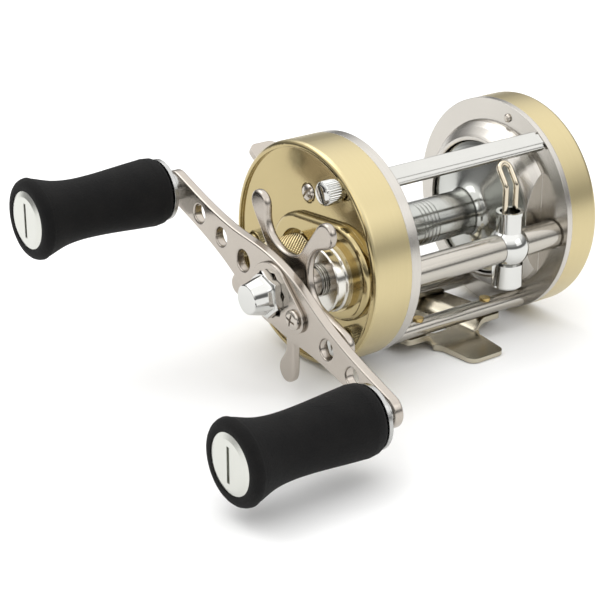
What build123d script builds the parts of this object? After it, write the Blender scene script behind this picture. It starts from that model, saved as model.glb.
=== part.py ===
"""Round baitcasting reel, modelled as the separate pieces it is assembled from.

Frame: millimetres, +X along the spool axis towards the handle, +Y towards the rod tip (the side the line
leaves from), +Z up. The origin is on the underside of the foot, below the middle of the spool.
Every station called x is measured along the spool axis; every (y, z) pair is measured from the spool axis.
"""
import os
from math import acos, asin, atan2, cos, degrees, hypot, pi, radians, sin, tan

from build123d import *

os.makedirs("parts", exist_ok=True)

# ---------------------------------------------------------------- driving dimensions
AXIS_H = 28.5  # height of the spool axis above the seat face of the foot
PLATE_R = 28.0  # side plates and covers
FRAME_HALF = 24.0  # middle of the spool to the inner face of each side plate
PLATE_T = 1.4  # web of a side plate
OPENING_R = 17.7  # hole in a side plate that the spool flange runs in
COLLAR = [(19.1, OPENING_R), (18.9, 18.0), (18.9, 18.7), (19.3, 19.2), (20.9, 20.9), (22.6, 22.0),
          (23.5, 22.4), (FRAME_HALF, 22.4)]  # station, radius of the raised collar round that hole
COLLAR_FLAT_Y = 18.2  # the collars are cut flat in front, where the line guide passes

SHAFT = (14.4, -0.6)  # drive shaft axis
WORM = (22.75, -1.6)  # level-wind axis
TUBE_R = 3.6  # level-wind tube, outside
TUBE_BORE = 2.8
PILLARS = {"front_pillar": (12.5, -22.0), "rear_pillar": (-9.4, -23.7)}
PILLAR_R = 2.25
TENON_R = 1.2
BAR_ANGLE = 52.3  # where the top cross bar sits round the rim, from +Y towards +Z
BAR_R = 26.9  # radius of the middle of the bar
BAR_SIZE = (5.3, 1.8)
BAR_NECK = (3.0, 0.8)  # width, length of the narrow end at the palm-side plate
BAR_TENON_R = 0.8

FLANGE_R = 17.3  # spool flanges
FLANGE_T = 1.2
ARBOR_R = 5.8
AXLE_R = 2.0  # spool shaft
FIT = 0.05  # radial running clearance of a shaft in its hole

COVER_X = (26.8, 37.3, 38.0)  # handle-side cover: rim start, flat face, crest of the rim
COVER_WALL = 1.0
COVER_INSIDE_X = 36.1
BOSS_X = 39.5  # raised boss on the cover
PALM_X = (-25.6, -33.8, -34.5)  # palm-side cover: rim start, flat face, crest of the rim

MAIN_TEETH, PINION_TEETH = 58, 14
WORM_DRIVE_TEETH, WORM_COG_TEETH = 25, 17
GEAR_MODULE = 2 * hypot(*SHAFT) / (MAIN_TEETH + PINION_TEETH)
WORM_CENTRES = hypot(WORM[0] - SHAFT[0], WORM[1] - SHAFT[1])
WORM_MODULE = 2 * WORM_CENTRES / (WORM_DRIVE_TEETH + WORM_COG_TEETH)
SHAFT_R = 3.0
BRIDGE_X = (25.5, 26.4)
YOKE_X = (27.45, 28.35)
GUIDE_PIN_Z = 10.5

STAR_X = (50.8, 53.0)
STAR_ANGLES = [51.7 + 72 * arm for arm in range(5)]
ARM_X = (54.9, 57.4)
ARM_ANGLE = 160.4  # direction of the rear knob, from +Y towards +Z
ARM_REACH = 43.5  # drive shaft to each knob
ARM_TIP_R = 4.0
RETAINER_X = 58.3
RETAINER_TAP_X = 55.4  # bottom of the tapped hole in the arm
NUT_X = (57.4, 60.2, 64.9)
KNOB_X = (61.9, 98.2)
CAP_R = 7.05
THUMB_SCREWS = [(23.9, 56.5), (22.8, 190.0), (23.4, 312.0)]  # radius, angle on the cover
SLOT_SCREW = (1.4, 16.0)
BRIDGE_POSTS = [(-12.0, -9.5), (2.5, -14.8)]
LEVER_ANGLE = 145.0
CARRIAGE_X = -8.8  # where the line guide stands at rest


# ---------------------------------------------------------------- helpers
def across(x, centre=(0.0, 0.0), angle=0.0):
    """Plane square to the spool axis: local x runs forward (+Y), turned by angle towards +Z."""
    forward = (0, cos(radians(angle)), sin(radians(angle)))
    return Plane(origin=(x, centre[0], AXIS_H + centre[1]), x_dir=forward, z_dir=(1, 0, 0))


def beside(centre=(0.0, 0.0)):
    """Plane holding an axis parallel to the spool: local x is the station, local y the radius."""
    return Plane(origin=(0, centre[0], AXIS_H + centre[1]), x_dir=(1, 0, 0), z_dir=(0, -1, 0))


def turn(profile, centre=(0.0, 0.0), mode=Mode.ADD):
    """Turn a closed outline of (station, radius) points about the axis through centre."""
    plane = beside(centre)
    with BuildSketch(plane) as outline:
        with BuildLine():
            Polyline(*profile, close=True)
        make_face()
    revolve(outline.sketch, axis=Axis(plane.origin, (1, 0, 0)), mode=mode)


def barrel(start, end, radius, centre=(0.0, 0.0), mode=Mode.ADD):
    """Straight round length between two stations."""
    with BuildSketch(across(start, centre)) as section:
        Circle(radius)
    extrude(section.sketch, amount=end - start, mode=mode)


def ring(start, end, outer, inner, centre=(0.0, 0.0), mode=Mode.ADD):
    """Straight round collar between two stations."""
    turn([(start, inner), (end, inner), (end, outer), (start, outer)], centre, mode)


def polar(radius, angle, centre=(0.0, 0.0)):
    """Point at a radius and angle (from +Y towards +Z) round a centre."""
    return (centre[0] + radius * cos(radians(angle)), centre[1] + radius * sin(radians(angle)))


def slot_cut(depth_plane, length, width, depth, angle=0.0):
    """Screwdriver slot cut along -X from the plane of a screw's face."""
    with BuildSketch(depth_plane) as groove:
        Rectangle(length, width, rotation=angle)
    extrude(groove.sketch, amount=-depth, mode=Mode.SUBTRACT)


def involute(angle):
    """Involute function of a pressure angle in radians."""
    return tan(angle) - angle


def gear_points(teeth, module, backlash=0.05, addendum=0.8, dedendum=1.1, pressure=20.0):
    """Outline of a stub-tooth involute gear with a tooth on its local x axis."""
    pitch_r = module * teeth / 2
    base_r = pitch_r * cos(radians(pressure))
    root_r = pitch_r - dedendum * module
    tip_r = pitch_r + addendum * module
    half_pitch = (pi / 2 - backlash / module) / teeth + involute(radians(pressure))
    flank = []
    for radius in (root_r, max(base_r, root_r + 0.05 * module), pitch_r, tip_r):
        spread = involute(acos(min(1.0, base_r / radius)))
        flank.append((radius, half_pitch - spread))
    points = []
    for tooth in range(teeth):
        middle = 2 * pi * tooth / teeth
        for radius, half in flank:
            points.append((radius * cos(middle - half), radius * sin(middle - half)))
        for radius, half in reversed(flank):
            points.append((radius * cos(middle + half), radius * sin(middle + half)))
    return points


def gear(start, end, teeth, module, centre, tooth_angle):
    """Spur gear between two stations, with a tooth pointing at tooth_angle."""
    with BuildSketch(across(start, centre, tooth_angle)) as outline:
        with BuildLine():
            Polyline(*gear_points(teeth, module), close=True)
        make_face()
    extrude(outline.sketch, amount=end - start)


# ---------------------------------------------------------------- frame: side plates
def side_plate(side, rim_end):
    """One side plate: web with a raised collar round the spool opening and a rim on the outside."""
    web_end = FRAME_HALF + PLATE_T
    barrel(side * FRAME_HALF, side * web_end, PLATE_R)
    ring(side * web_end, side * rim_end, PLATE_R, PLATE_R - COVER_WALL)
    turn([(side * FRAME_HALF, OPENING_R)] + [(side * station, radius) for station, radius in COLLAR])
    with BuildSketch(across(side * FRAME_HALF, (COLLAR_FLAT_Y + PLATE_R / 2, 0))) as flat:
        Rectangle(PLATE_R, 2 * PLATE_R)
    extrude(flat.sketch, amount=-side * PLATE_R / 2, mode=Mode.SUBTRACT)
    barrel(side * (COLLAR[0][0] - 1), side * (rim_end + 1), OPENING_R, mode=Mode.SUBTRACT)
    barrel(side * FRAME_HALF, side * web_end, TUBE_R, WORM, mode=Mode.SUBTRACT)
    barrel(side * FRAME_HALF, side * (FRAME_HALF + 0.5), TUBE_R + 0.45, WORM, mode=Mode.SUBTRACT)
    for centre in list(PILLARS.values()) + [polar(BAR_R, BAR_ANGLE)]:
        radius = TENON_R if centre[1] < 0 else BAR_TENON_R
        barrel(side * FRAME_HALF, side * web_end, radius, centre, mode=Mode.SUBTRACT)


RIVET_SPOT = (4.6, 24.3)
RIVET_R = 0.7
with BuildPart() as handle_side_plate:
    side_plate(1, COVER_X[0])
    for radius, angle in THUMB_SCREWS:
        barrel(FRAME_HALF, FRAME_HALF + PLATE_T, 1.2, polar(radius, angle), mode=Mode.SUBTRACT)
handle_side_plate.part.label = "handle_side_plate"
export_step(handle_side_plate.part, "parts/handle_side_plate.step")

with BuildPart() as palm_side_plate:
    side_plate(-1, -PALM_X[0])
    barrel(-FRAME_HALF, -FRAME_HALF - PLATE_T, RIVET_R, RIVET_SPOT, mode=Mode.SUBTRACT)
palm_side_plate.part.label = "palm_side_plate"
export_step(palm_side_plate.part, "parts/palm_side_plate.step")

with BuildPart() as plate_rivet:
    turn([
        (-FRAME_HALF - PLATE_T, 0), (-FRAME_HALF - PLATE_T, RIVET_R), (-FRAME_HALF, RIVET_R),
        (-FRAME_HALF, 1.15), (-FRAME_HALF + 0.35, 1.1), (-FRAME_HALF + 0.7, 0.7), (-FRAME_HALF + 0.8, 0),
    ], RIVET_SPOT)
plate_rivet.part.label = "plate_rivet"
export_step(plate_rivet.part, "parts/plate_rivet.step")

# ---------------------------------------------------------------- frame: bars, pillars and foot
bar_centre = polar(BAR_R, BAR_ANGLE)
bar_plane = Plane(
    origin=(-FRAME_HALF, bar_centre[0], AXIS_H + bar_centre[1]),
    x_dir=(0, sin(radians(BAR_ANGLE)), -cos(radians(BAR_ANGLE))),
    z_dir=(1, 0, 0),
)
with BuildPart() as top_cross_bar:
    with BuildSketch(bar_plane):
        RectangleRounded(BAR_SIZE[0], BAR_SIZE[1], 0.6)
        groove_side = BAR_SIZE[0] / 2 - 1.3
        for face_side in (1, -1):
            with Locations((groove_side, face_side * BAR_SIZE[1] / 2)):
                Rectangle(0.25, 0.3, mode=Mode.SUBTRACT)
    extrude(amount=2 * FRAME_HALF)
    with BuildSketch(bar_plane) as corners:
        Rectangle(BAR_SIZE[0], BAR_SIZE[1])
        Rectangle(BAR_NECK[0], BAR_SIZE[1], mode=Mode.SUBTRACT)
    extrude(corners.sketch, amount=BAR_NECK[1], mode=Mode.SUBTRACT)
    for side in (1, -1):
        barrel(side * FRAME_HALF, side * (FRAME_HALF + PLATE_T), BAR_TENON_R, bar_centre)
top_cross_bar.part.label = "top_cross_bar"
export_step(top_cross_bar.part, "parts/top_cross_bar.step")

RIVET_X = 11.2
FOOT_RIVET_R = 0.9
for name, centre in PILLARS.items():
    with BuildPart() as pillar:
        barrel(-FRAME_HALF, FRAME_HALF, PILLAR_R, centre)
        for side in (1, -1):
            barrel(side * FRAME_HALF, side * (FRAME_HALF + PLATE_T), TENON_R, centre)
        with Locations(*[Plane((x, centre[0], AXIS_H + centre[1])) for x in (-RIVET_X, RIVET_X)]):
            Hole(FOOT_RIVET_R)
    pillar.part.label = name
    export_step(pillar.part, f"parts/{name}.step")

SADDLE = (15.6, -11.3, 14.3)  # half length along X, rear edge, front edge of the raised ears
EAR_RISE = (1.15, 3.05)  # height of the ears at those two edges
EAR_X = (5.6, 10.2)  # where the sheet starts to rise and where it levels out
FOOT_TIPS = (-28.0, 27.0)
BLADE_ROOT_HALF = 6.4
BLADE_TIP_HALF = 5.4
FOOT_T = 1.5
BLADE_TIP_T = 1.0
WINDOW = (8.0, -6.5, 9.0)  # width, rear edge, front edge of the opening between the pillars
with BuildPart() as reel_foot:
    for y, rise in zip(SADDLE[1:], EAR_RISE):
        with BuildSketch(Plane(origin=(0, y, 0), x_dir=(1, 0, 0), z_dir=(0, -1, 0))):
            with BuildLine():
                for height in (0, FOOT_T):
                    Line((-EAR_X[0], height), (EAR_X[0], height))
                    for side in (1, -1):
                        Spline((side * EAR_X[0], height), (side * EAR_X[1], height + rise),
                               tangents=[(side, 0), (side, 0)])
                        Line((side * EAR_X[1], height + rise), (side * SADDLE[0], height + rise))
                for side in (1, -1):
                    Line((side * SADDLE[0], rise), (side * SADDLE[0], rise + FOOT_T))
            make_face()
    loft()
    for y_start, y_end in ((SADDLE[2], FOOT_TIPS[1]), (FOOT_TIPS[0], SADDLE[1])):
        with BuildSketch(Plane.XY) as blade:
            with Locations((0, y_start)):
                Rectangle(2 * EAR_X[0] + 4, y_end - y_start, align=(Align.CENTER, Align.MIN))
        extrude(blade.sketch, amount=FOOT_T)
    with BuildSketch(Plane.XY) as plan:
        with BuildLine():
            Polyline(
                (SADDLE[0], SADDLE[1]), (SADDLE[0], SADDLE[2]), (BLADE_ROOT_HALF, SADDLE[2]),
                (BLADE_TIP_HALF, FOOT_TIPS[1]), (-BLADE_TIP_HALF, FOOT_TIPS[1]),
                (-BLADE_ROOT_HALF, SADDLE[2]), (-SADDLE[0], SADDLE[2]), (-SADDLE[0], SADDLE[1]),
                (-BLADE_ROOT_HALF, SADDLE[1]), (-BLADE_TIP_HALF, FOOT_TIPS[0]),
                (BLADE_TIP_HALF, FOOT_TIPS[0]), (BLADE_ROOT_HALF, SADDLE[1]), close=True,
            )
        make_face()
        fillet([corner for corner in plan.vertices() if abs(corner.X) > SADDLE[0] - 1], 1.6)
        fillet([corner for corner in plan.vertices() if corner.Y in (FOOT_TIPS[0], FOOT_TIPS[1])], 2.4)
        roots = [corner for corner in plan.vertices() if abs(abs(corner.X) - BLADE_ROOT_HALF) < 0.01]
        fillet(roots, 3.2)
        with Locations((0, (WINDOW[1] + WINDOW[2]) / 2)):
            RectangleRounded(WINDOW[0], WINDOW[2] - WINDOW[1], 2.2, mode=Mode.SUBTRACT)
    extrude(plan.sketch, amount=AXIS_H, mode=Mode.INTERSECT)
    for centre in PILLARS.values():
        barrel(-FRAME_HALF, FRAME_HALF, PILLAR_R, centre, mode=Mode.SUBTRACT)
    for end, wedge_start, tip in ((1, SADDLE[2] + 3, FOOT_TIPS[1]), (-1, SADDLE[1] - 3, FOOT_TIPS[0])):
        with BuildSketch(Plane.YZ.offset(-SADDLE[0])) as wedge:
            with BuildLine():
                Polyline((wedge_start, FOOT_T), (tip + end, FOOT_T), (tip + end, BLADE_TIP_T), close=True)
            make_face()
        extrude(wedge.sketch, amount=2 * SADDLE[0], mode=Mode.SUBTRACT)
    for x in (-RIVET_X, RIVET_X):
        for y, z in PILLARS.values():
            with Locations((x, y, 0)):
                Cylinder(FOOT_RIVET_R, AXIS_H + z, align=(Align.CENTER, Align.CENTER, Align.MIN), mode=Mode.SUBTRACT)
reel_foot.part.label = "reel_foot"
export_step(reel_foot.part, "parts/reel_foot.step")

RIVET_HEAD_R = 1.4
with BuildPart() as foot_rivets:
    for x in (-RIVET_X, RIVET_X):
        for centre in PILLARS.values():
            crown = AXIS_H + centre[1] + PILLAR_R
            with Locations((x, centre[0], crown - 0.5)):
                Cylinder(RIVET_HEAD_R, 1.0, align=(Align.CENTER, Align.CENTER, Align.MIN))
            barrel(x - 2, x + 2, PILLAR_R, centre, mode=Mode.SUBTRACT)
            foot_under = EAR_RISE[1] if centre[0] > 0 else EAR_RISE[0]
            with Locations((x, centre[0], foot_under)):
                Cylinder(FOOT_RIVET_R, crown + 0.5 - foot_under, align=(Align.CENTER, Align.CENTER, Align.MIN))
foot_rivets.part.label = "foot_rivets"
export_step(foot_rivets.part, "parts/foot_rivets.step")

# ---------------------------------------------------------------- handle-side cover
WELL_R = 6.9
CONTROL_BOSS = (4.9, 4.0, 44.0)  # outside radius, bearing seat radius, end station
SLEEVE_SEAT_R = 5.6
LEVER_SLOT_X = (27.9, 32.7)
LEVER_TRAVEL = 12.0


def sector(radius, start_angle, end_angle):
    """Pie slice between two angles, for cutting a stretch of rim."""
    middle = (start_angle + end_angle) / 2
    with BuildLine() as rays:
        Polyline((0, 0), polar(radius, start_angle), polar(radius, middle), polar(radius, end_angle), close=True)
    make_face(rays.edges())


with BuildPart() as handle_side_cover:
    rim_start, face, crest = COVER_X
    turn([
        (rim_start, PLATE_R - COVER_WALL), (rim_start, PLATE_R), (crest, PLATE_R), (crest, 26.4),
        (face, 26.4), (face, 0), (COVER_INSIDE_X, 0), (COVER_INSIDE_X, PLATE_R - COVER_WALL),
    ])
    crest_edges = handle_side_cover.edges().filter_by(GeomType.CIRCLE).group_by(Axis.X)[-1]
    fillet(crest_edges.sort_by(SortBy.RADIUS)[-1], 1.3)
    with BuildSketch(across(COVER_INSIDE_X)) as boss:
        with Locations((0, 0)):
            Circle(10.7)
        with Locations((14.6, 0)):
            Circle(11.9)
        make_hull()
    extrude(boss.sketch, amount=BOSS_X - COVER_INSIDE_X)
    boss_edges = handle_side_cover.edges().group_by(Axis.X)[-1]
    fillet(boss_edges, 1.3)
    barrel(face - 0.6, BOSS_X, WELL_R, mode=Mode.SUBTRACT)
    outer, seat, boss_end = CONTROL_BOSS
    barrel(COVER_INSIDE_X, boss_end, outer)
    barrel(COVER_INSIDE_X, boss_end, 3.3, mode=Mode.SUBTRACT)
    barrel(40.4, boss_end, seat, mode=Mode.SUBTRACT)
    barrel(COVER_INSIDE_X, BOSS_X, SLEEVE_SEAT_R, SHAFT, mode=Mode.SUBTRACT)
    for radius, angle in THUMB_SCREWS:
        barrel(COVER_INSIDE_X, face, 1.3, polar(radius, angle), mode=Mode.SUBTRACT)
    barrel(COVER_INSIDE_X, face, 1.0, SLOT_SCREW, mode=Mode.SUBTRACT)
    barrel(face - 0.5, face, 2.6, SLOT_SCREW, mode=Mode.SUBTRACT)
    for spot in BRIDGE_POSTS:
        barrel(BRIDGE_X[1], COVER_INSIDE_X, 1.8, spot)
        barrel(BRIDGE_X[1], BRIDGE_X[1] + 5, 0.9, spot, mode=Mode.SUBTRACT)
    with BuildSketch(across(LEVER_SLOT_X[0])) as slot:
        sector(31, LEVER_ANGLE - 3.2, LEVER_ANGLE + LEVER_TRAVEL + 3.2)
        Circle(26.5, mode=Mode.SUBTRACT)
    extrude(slot.sketch, amount=LEVER_SLOT_X[1] - LEVER_SLOT_X[0], mode=Mode.SUBTRACT)
handle_side_cover.part.label = "handle_side_cover"
export_step(handle_side_cover.part, "parts/handle_side_cover.step")

THUMB_HEAD = (3.0, 5.2)  # radius, height above the cover face
with BuildPart() as cover_thumb_screws:
    for radius, angle in THUMB_SCREWS:
        spot = polar(radius, angle)
        end = COVER_X[1] + THUMB_HEAD[1]
        turn([
            (FRAME_HALF, 0), (FRAME_HALF, 1.2), (COVER_X[1], 1.2), (COVER_X[1], 2.2), (COVER_X[1] + 0.6, 2.2),
            (COVER_X[1] + 1.0, THUMB_HEAD[0]), (end - 0.6, THUMB_HEAD[0]), (end, THUMB_HEAD[0] - 0.5), (end, 0),
        ], spot)
        slot_cut(across(end, spot), 2 * THUMB_HEAD[0], 0.8, 0.9, 115)
cover_thumb_screws.part.label = "cover_thumb_screws"
export_step(cover_thumb_screws.part, "parts/cover_thumb_screws.step")

with BuildPart() as cover_slot_screw:
    seat = COVER_X[1] - 0.5
    turn([
        (30.5, 0), (30.5, 0.9), (seat, 0.9), (seat, 2.3), (seat + 0.5, 2.3), (seat + 1.1, 1.8),
        (seat + 1.4, 1.0), (seat + 1.5, 0),
    ], SLOT_SCREW)
    slot_cut(across(seat + 1.5, SLOT_SCREW), 5.0, 0.7, 0.9, 50)
cover_slot_screw.part.label = "cover_slot_screw"
export_step(cover_slot_screw.part, "parts/cover_slot_screw.step")

# ---------------------------------------------------------------- drive shaft sleeve and its roller clutch
SLEEVE_X = (36.1, 40.6, 42.0, 44.4)
RING_R, DRUM_R = 8.3, 7.9
with BuildPart() as sleeve_collar:
    ring(BOSS_X, SLEEVE_X[1], 8.7, SLEEVE_SEAT_R, SHAFT)
sleeve_collar.part.label = "sleeve_collar"
export_step(sleeve_collar.part, "parts/sleeve_collar.step")

with BuildPart() as shaft_sleeve:
    turn([
        (SLEEVE_X[0], 4.9), (SLEEVE_X[0], SLEEVE_SEAT_R), (SLEEVE_X[1], SLEEVE_SEAT_R),
        (SLEEVE_X[1], RING_R), (SLEEVE_X[2] - 0.3, RING_R), (SLEEVE_X[2], RING_R - 0.3), (SLEEVE_X[2], DRUM_R),
        (SLEEVE_X[3] - 0.3, DRUM_R), (SLEEVE_X[3], DRUM_R - 0.3), (SLEEVE_X[3], SHAFT_R + FIT),
        (SLEEVE_X[3] - 1.0, SHAFT_R + FIT), (SLEEVE_X[3] - 1.0, 4.9),
    ], SHAFT)
shaft_sleeve.part.label = "shaft_sleeve"
export_step(shaft_sleeve.part, "parts/shaft_sleeve.step")

ROLLERS = 10
with BuildPart() as one_way_bearing:
    shell_x = (36.6, 43.4)
    ring(shell_x[0], shell_x[1], 4.9, 4.45, SHAFT)
    for lip_start in (shell_x[0], shell_x[1] - 0.4):
        ring(lip_start, lip_start + 0.4, 4.6, 3.25, SHAFT)
    for roller in range(ROLLERS):
        barrel(shell_x[0], shell_x[1], 0.72, polar(3.82, 360 / ROLLERS * roller, SHAFT))
one_way_bearing.part.label = "one_way_bearing"
export_step(one_way_bearing.part, "parts/one_way_bearing.step")

# ---------------------------------------------------------------- gear bridge inside the cover
BRIDGE_COLLAR = (4.2, 5.0, 27.3)  # bore, outside radius, end station of the lever's journal
POST_R = 1.7
with BuildPart() as gear_bridge:
    with BuildSketch(across(BRIDGE_X[0])) as plate:
        with Locations((0, 0)):
            Circle(7.0)
        with Locations(SHAFT):
            Circle(3.2)
        with Locations(*BRIDGE_POSTS, (SLOT_SCREW[0], SLOT_SCREW[1] - 2)):
            Circle(2.2)
        make_hull()
        with Locations(SLOT_SCREW):
            Circle(2.4)
    extrude(plate.sketch, amount=BRIDGE_X[1] - BRIDGE_X[0])
    barrel(BRIDGE_X[1], BRIDGE_COLLAR[2], BRIDGE_COLLAR[1])
    barrel(BRIDGE_X[1], COVER_INSIDE_X, POST_R, SLOT_SCREW)
    barrel(30.5, COVER_INSIDE_X, 0.9, SLOT_SCREW, mode=Mode.SUBTRACT)
    barrel(BRIDGE_X[0], BRIDGE_COLLAR[2], BRIDGE_COLLAR[0], mode=Mode.SUBTRACT)
    barrel(BRIDGE_X[0], BRIDGE_X[1], 1.5 + FIT, SHAFT, mode=Mode.SUBTRACT)
    for spot in BRIDGE_POSTS:
        barrel(BRIDGE_X[0], BRIDGE_X[1], 0.9, spot, mode=Mode.SUBTRACT)
    for z in (GUIDE_PIN_Z, -GUIDE_PIN_Z):
        barrel(BRIDGE_X[0], BRIDGE_X[1], 0.9, (0, z), mode=Mode.SUBTRACT)
gear_bridge.part.label = "gear_bridge"
export_step(gear_bridge.part, "parts/gear_bridge.step")

with BuildPart() as bridge_screws:
    for spot in BRIDGE_POSTS:
        barrel(BRIDGE_X[0], BRIDGE_X[1] + 5, 0.9, spot)
        barrel(BRIDGE_X[0] - 0.8, BRIDGE_X[0], 1.8, spot)
        slot_cut(Plane(origin=(BRIDGE_X[0] - 0.8, spot[0], AXIS_H + spot[1]), x_dir=(0, 1, 0),
                       z_dir=(-1, 0, 0)), 4.0, 0.5, 0.4, 30)
bridge_screws.part.label = "bridge_screws"
export_step(bridge_screws.part, "parts/bridge_screws.step")

with BuildPart() as yoke_guide_pins:
    for z in (GUIDE_PIN_Z, -GUIDE_PIN_Z):
        barrel(BRIDGE_X[0], COVER_INSIDE_X, 0.9, (0, z))
yoke_guide_pins.part.label = "yoke_guide_pins"
export_step(yoke_guide_pins.part, "parts/yoke_guide_pins.step")

# ---------------------------------------------------------------- drive shaft and what turns with it
FLAT_HALF = 2.3
NUT_THREAD = (2.4, 62.6)
with BuildPart() as drive_shaft:
    turn([
        (BRIDGE_X[0], 0), (BRIDGE_X[0], 1.5), (BRIDGE_X[1] + 0.1, 1.5), (BRIDGE_X[1] + 0.1, SHAFT_R),
        (ARM_X[1], SHAFT_R), (ARM_X[1], NUT_THREAD[0]), (NUT_THREAD[1], NUT_THREAD[0]), (NUT_THREAD[1], 0),
    ], SHAFT)
    for side in (1, -1):
        with BuildSketch(across(ARM_X[0], SHAFT)) as flat:
            with Locations((0, side * (FLAT_HALF + 1))):
                Rectangle(8, 2)
        extrude(flat.sketch, amount=ARM_X[1] - ARM_X[0], mode=Mode.SUBTRACT)
drive_shaft.part.label = "drive_shaft"
export_step(drive_shaft.part, "parts/drive_shaft.step")

MAIN_GEAR_X = (30.8, 33.0)
GEAR_WASHER_R = 7.5
SHOULDER_WASHER_X = (29.3, 30.2)
PRESSURE_X = (33.6, 34.8, 35.8)  # start and end of the flange, end of its hub
PRESSURE_R = 8.8
mesh_angle = degrees(atan2(-SHAFT[1], -SHAFT[0]))
with BuildPart() as main_gear:
    gear(*MAIN_GEAR_X, MAIN_TEETH, GEAR_MODULE, SHAFT, mesh_angle)
    barrel(*MAIN_GEAR_X, SHAFT_R, SHAFT, mode=Mode.SUBTRACT)
    for hole in range(5):
        barrel(*MAIN_GEAR_X, 0.9, polar(9.9, 36 + 72 * hole, SHAFT), mode=Mode.SUBTRACT)
main_gear.part.label = "main_gear"
export_step(main_gear.part, "parts/main_gear.step")

with BuildPart() as drag_washers:
    ring(*SHOULDER_WASHER_X, 6.0, SHAFT_R, SHAFT)
    ring(SHOULDER_WASHER_X[1] + FIT, MAIN_GEAR_X[0], GEAR_WASHER_R, SHAFT_R, SHAFT)
    ring(MAIN_GEAR_X[1], PRESSURE_X[0], PRESSURE_R, SHAFT_R, SHAFT)
drag_washers.part.label = "drag_washers"
export_step(drag_washers.part, "parts/drag_washers.step")

with BuildPart() as pressure_plate:
    ring(PRESSURE_X[0], PRESSURE_X[1], PRESSURE_R, SHAFT_R, SHAFT)
    ring(PRESSURE_X[1], PRESSURE_X[2], PRESSURE_R / 2, SHAFT_R, SHAFT)
pressure_plate.part.label = "pressure_plate"
export_step(pressure_plate.part, "parts/pressure_plate.step")

worm_angle = degrees(atan2(WORM[1] - SHAFT[1], WORM[0] - SHAFT[0]))
WORM_GEAR_X = (27.8, 29.2)
with BuildPart() as level_wind_drive_gear:
    gear(*WORM_GEAR_X, WORM_DRIVE_TEETH, WORM_MODULE, SHAFT, worm_angle)
    barrel(*WORM_GEAR_X, SHAFT_R, SHAFT, mode=Mode.SUBTRACT)
level_wind_drive_gear.part.label = "level_wind_drive_gear"
export_step(level_wind_drive_gear.part, "parts/level_wind_drive_gear.step")

SPRING_WASHER_R, SPRING_WASHER_T = 4.0, 0.25
with BuildPart() as drag_spring_washers:
    for wide, narrow in ((SLEEVE_X[3] + 0.1, SLEEVE_X[3] + 0.3), (SLEEVE_X[3] + 0.8, SLEEVE_X[3] + 0.6)):
        turn([(wide, SPRING_WASHER_R), (wide + SPRING_WASHER_T, SPRING_WASHER_R),
              (narrow + SPRING_WASHER_T, SHAFT_R), (narrow, SHAFT_R)], SHAFT)
drag_spring_washers.part.label = "drag_spring_washers"
export_step(drag_spring_washers.part, "parts/drag_spring_washers.step")

with BuildPart() as handle_spacer:
    ring(STAR_X[1] + 0.15, ARM_X[0], 4.4, SHAFT_R, SHAFT)
handle_spacer.part.label = "handle_spacer"
export_step(handle_spacer.part, "parts/handle_spacer.step")

# ---------------------------------------------------------------- star drag
STAR_TIP_R = 24.4
STAR_SHAPE = [(36, 0, 8.6), (12.5, 4, 10.5), (7.0, 5, 13.6), (6.7, 3, 17.0), (8.2, 0, 20.8), (6.2, 0, 23.0)]
# half angle across an arm, lean of its middle, radius
STAR_HUB = (3.6, 45.6)  # radius, inner end station


def star_points(angle):
    """Points of one arm of the star, from the valley before it to the root after it."""
    before = [polar(radius, angle + lean - half) for half, lean, radius in STAR_SHAPE]
    after = [polar(radius, angle + lean + half) for half, lean, radius in reversed(STAR_SHAPE[1:])]
    return before + [polar(STAR_TIP_R, angle)] + after


with BuildPart() as star_drag:
    with BuildSketch(across(STAR_X[0], SHAFT)) as blades:
        with BuildLine():
            outline = []
            for angle in STAR_ANGLES:
                outline += star_points(angle)
            Spline(*outline, periodic=True)
        make_face()
    extrude(blades.sketch, amount=STAR_X[1] - STAR_X[0])
    barrel(STAR_HUB[1], STAR_X[0], STAR_HUB[0], SHAFT)
    barrel(STAR_HUB[1], STAR_X[1], SHAFT_R + FIT, SHAFT, mode=Mode.SUBTRACT)
star_drag.part.label = "star_drag"
export_step(star_drag.part, "parts/star_drag.step")

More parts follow.
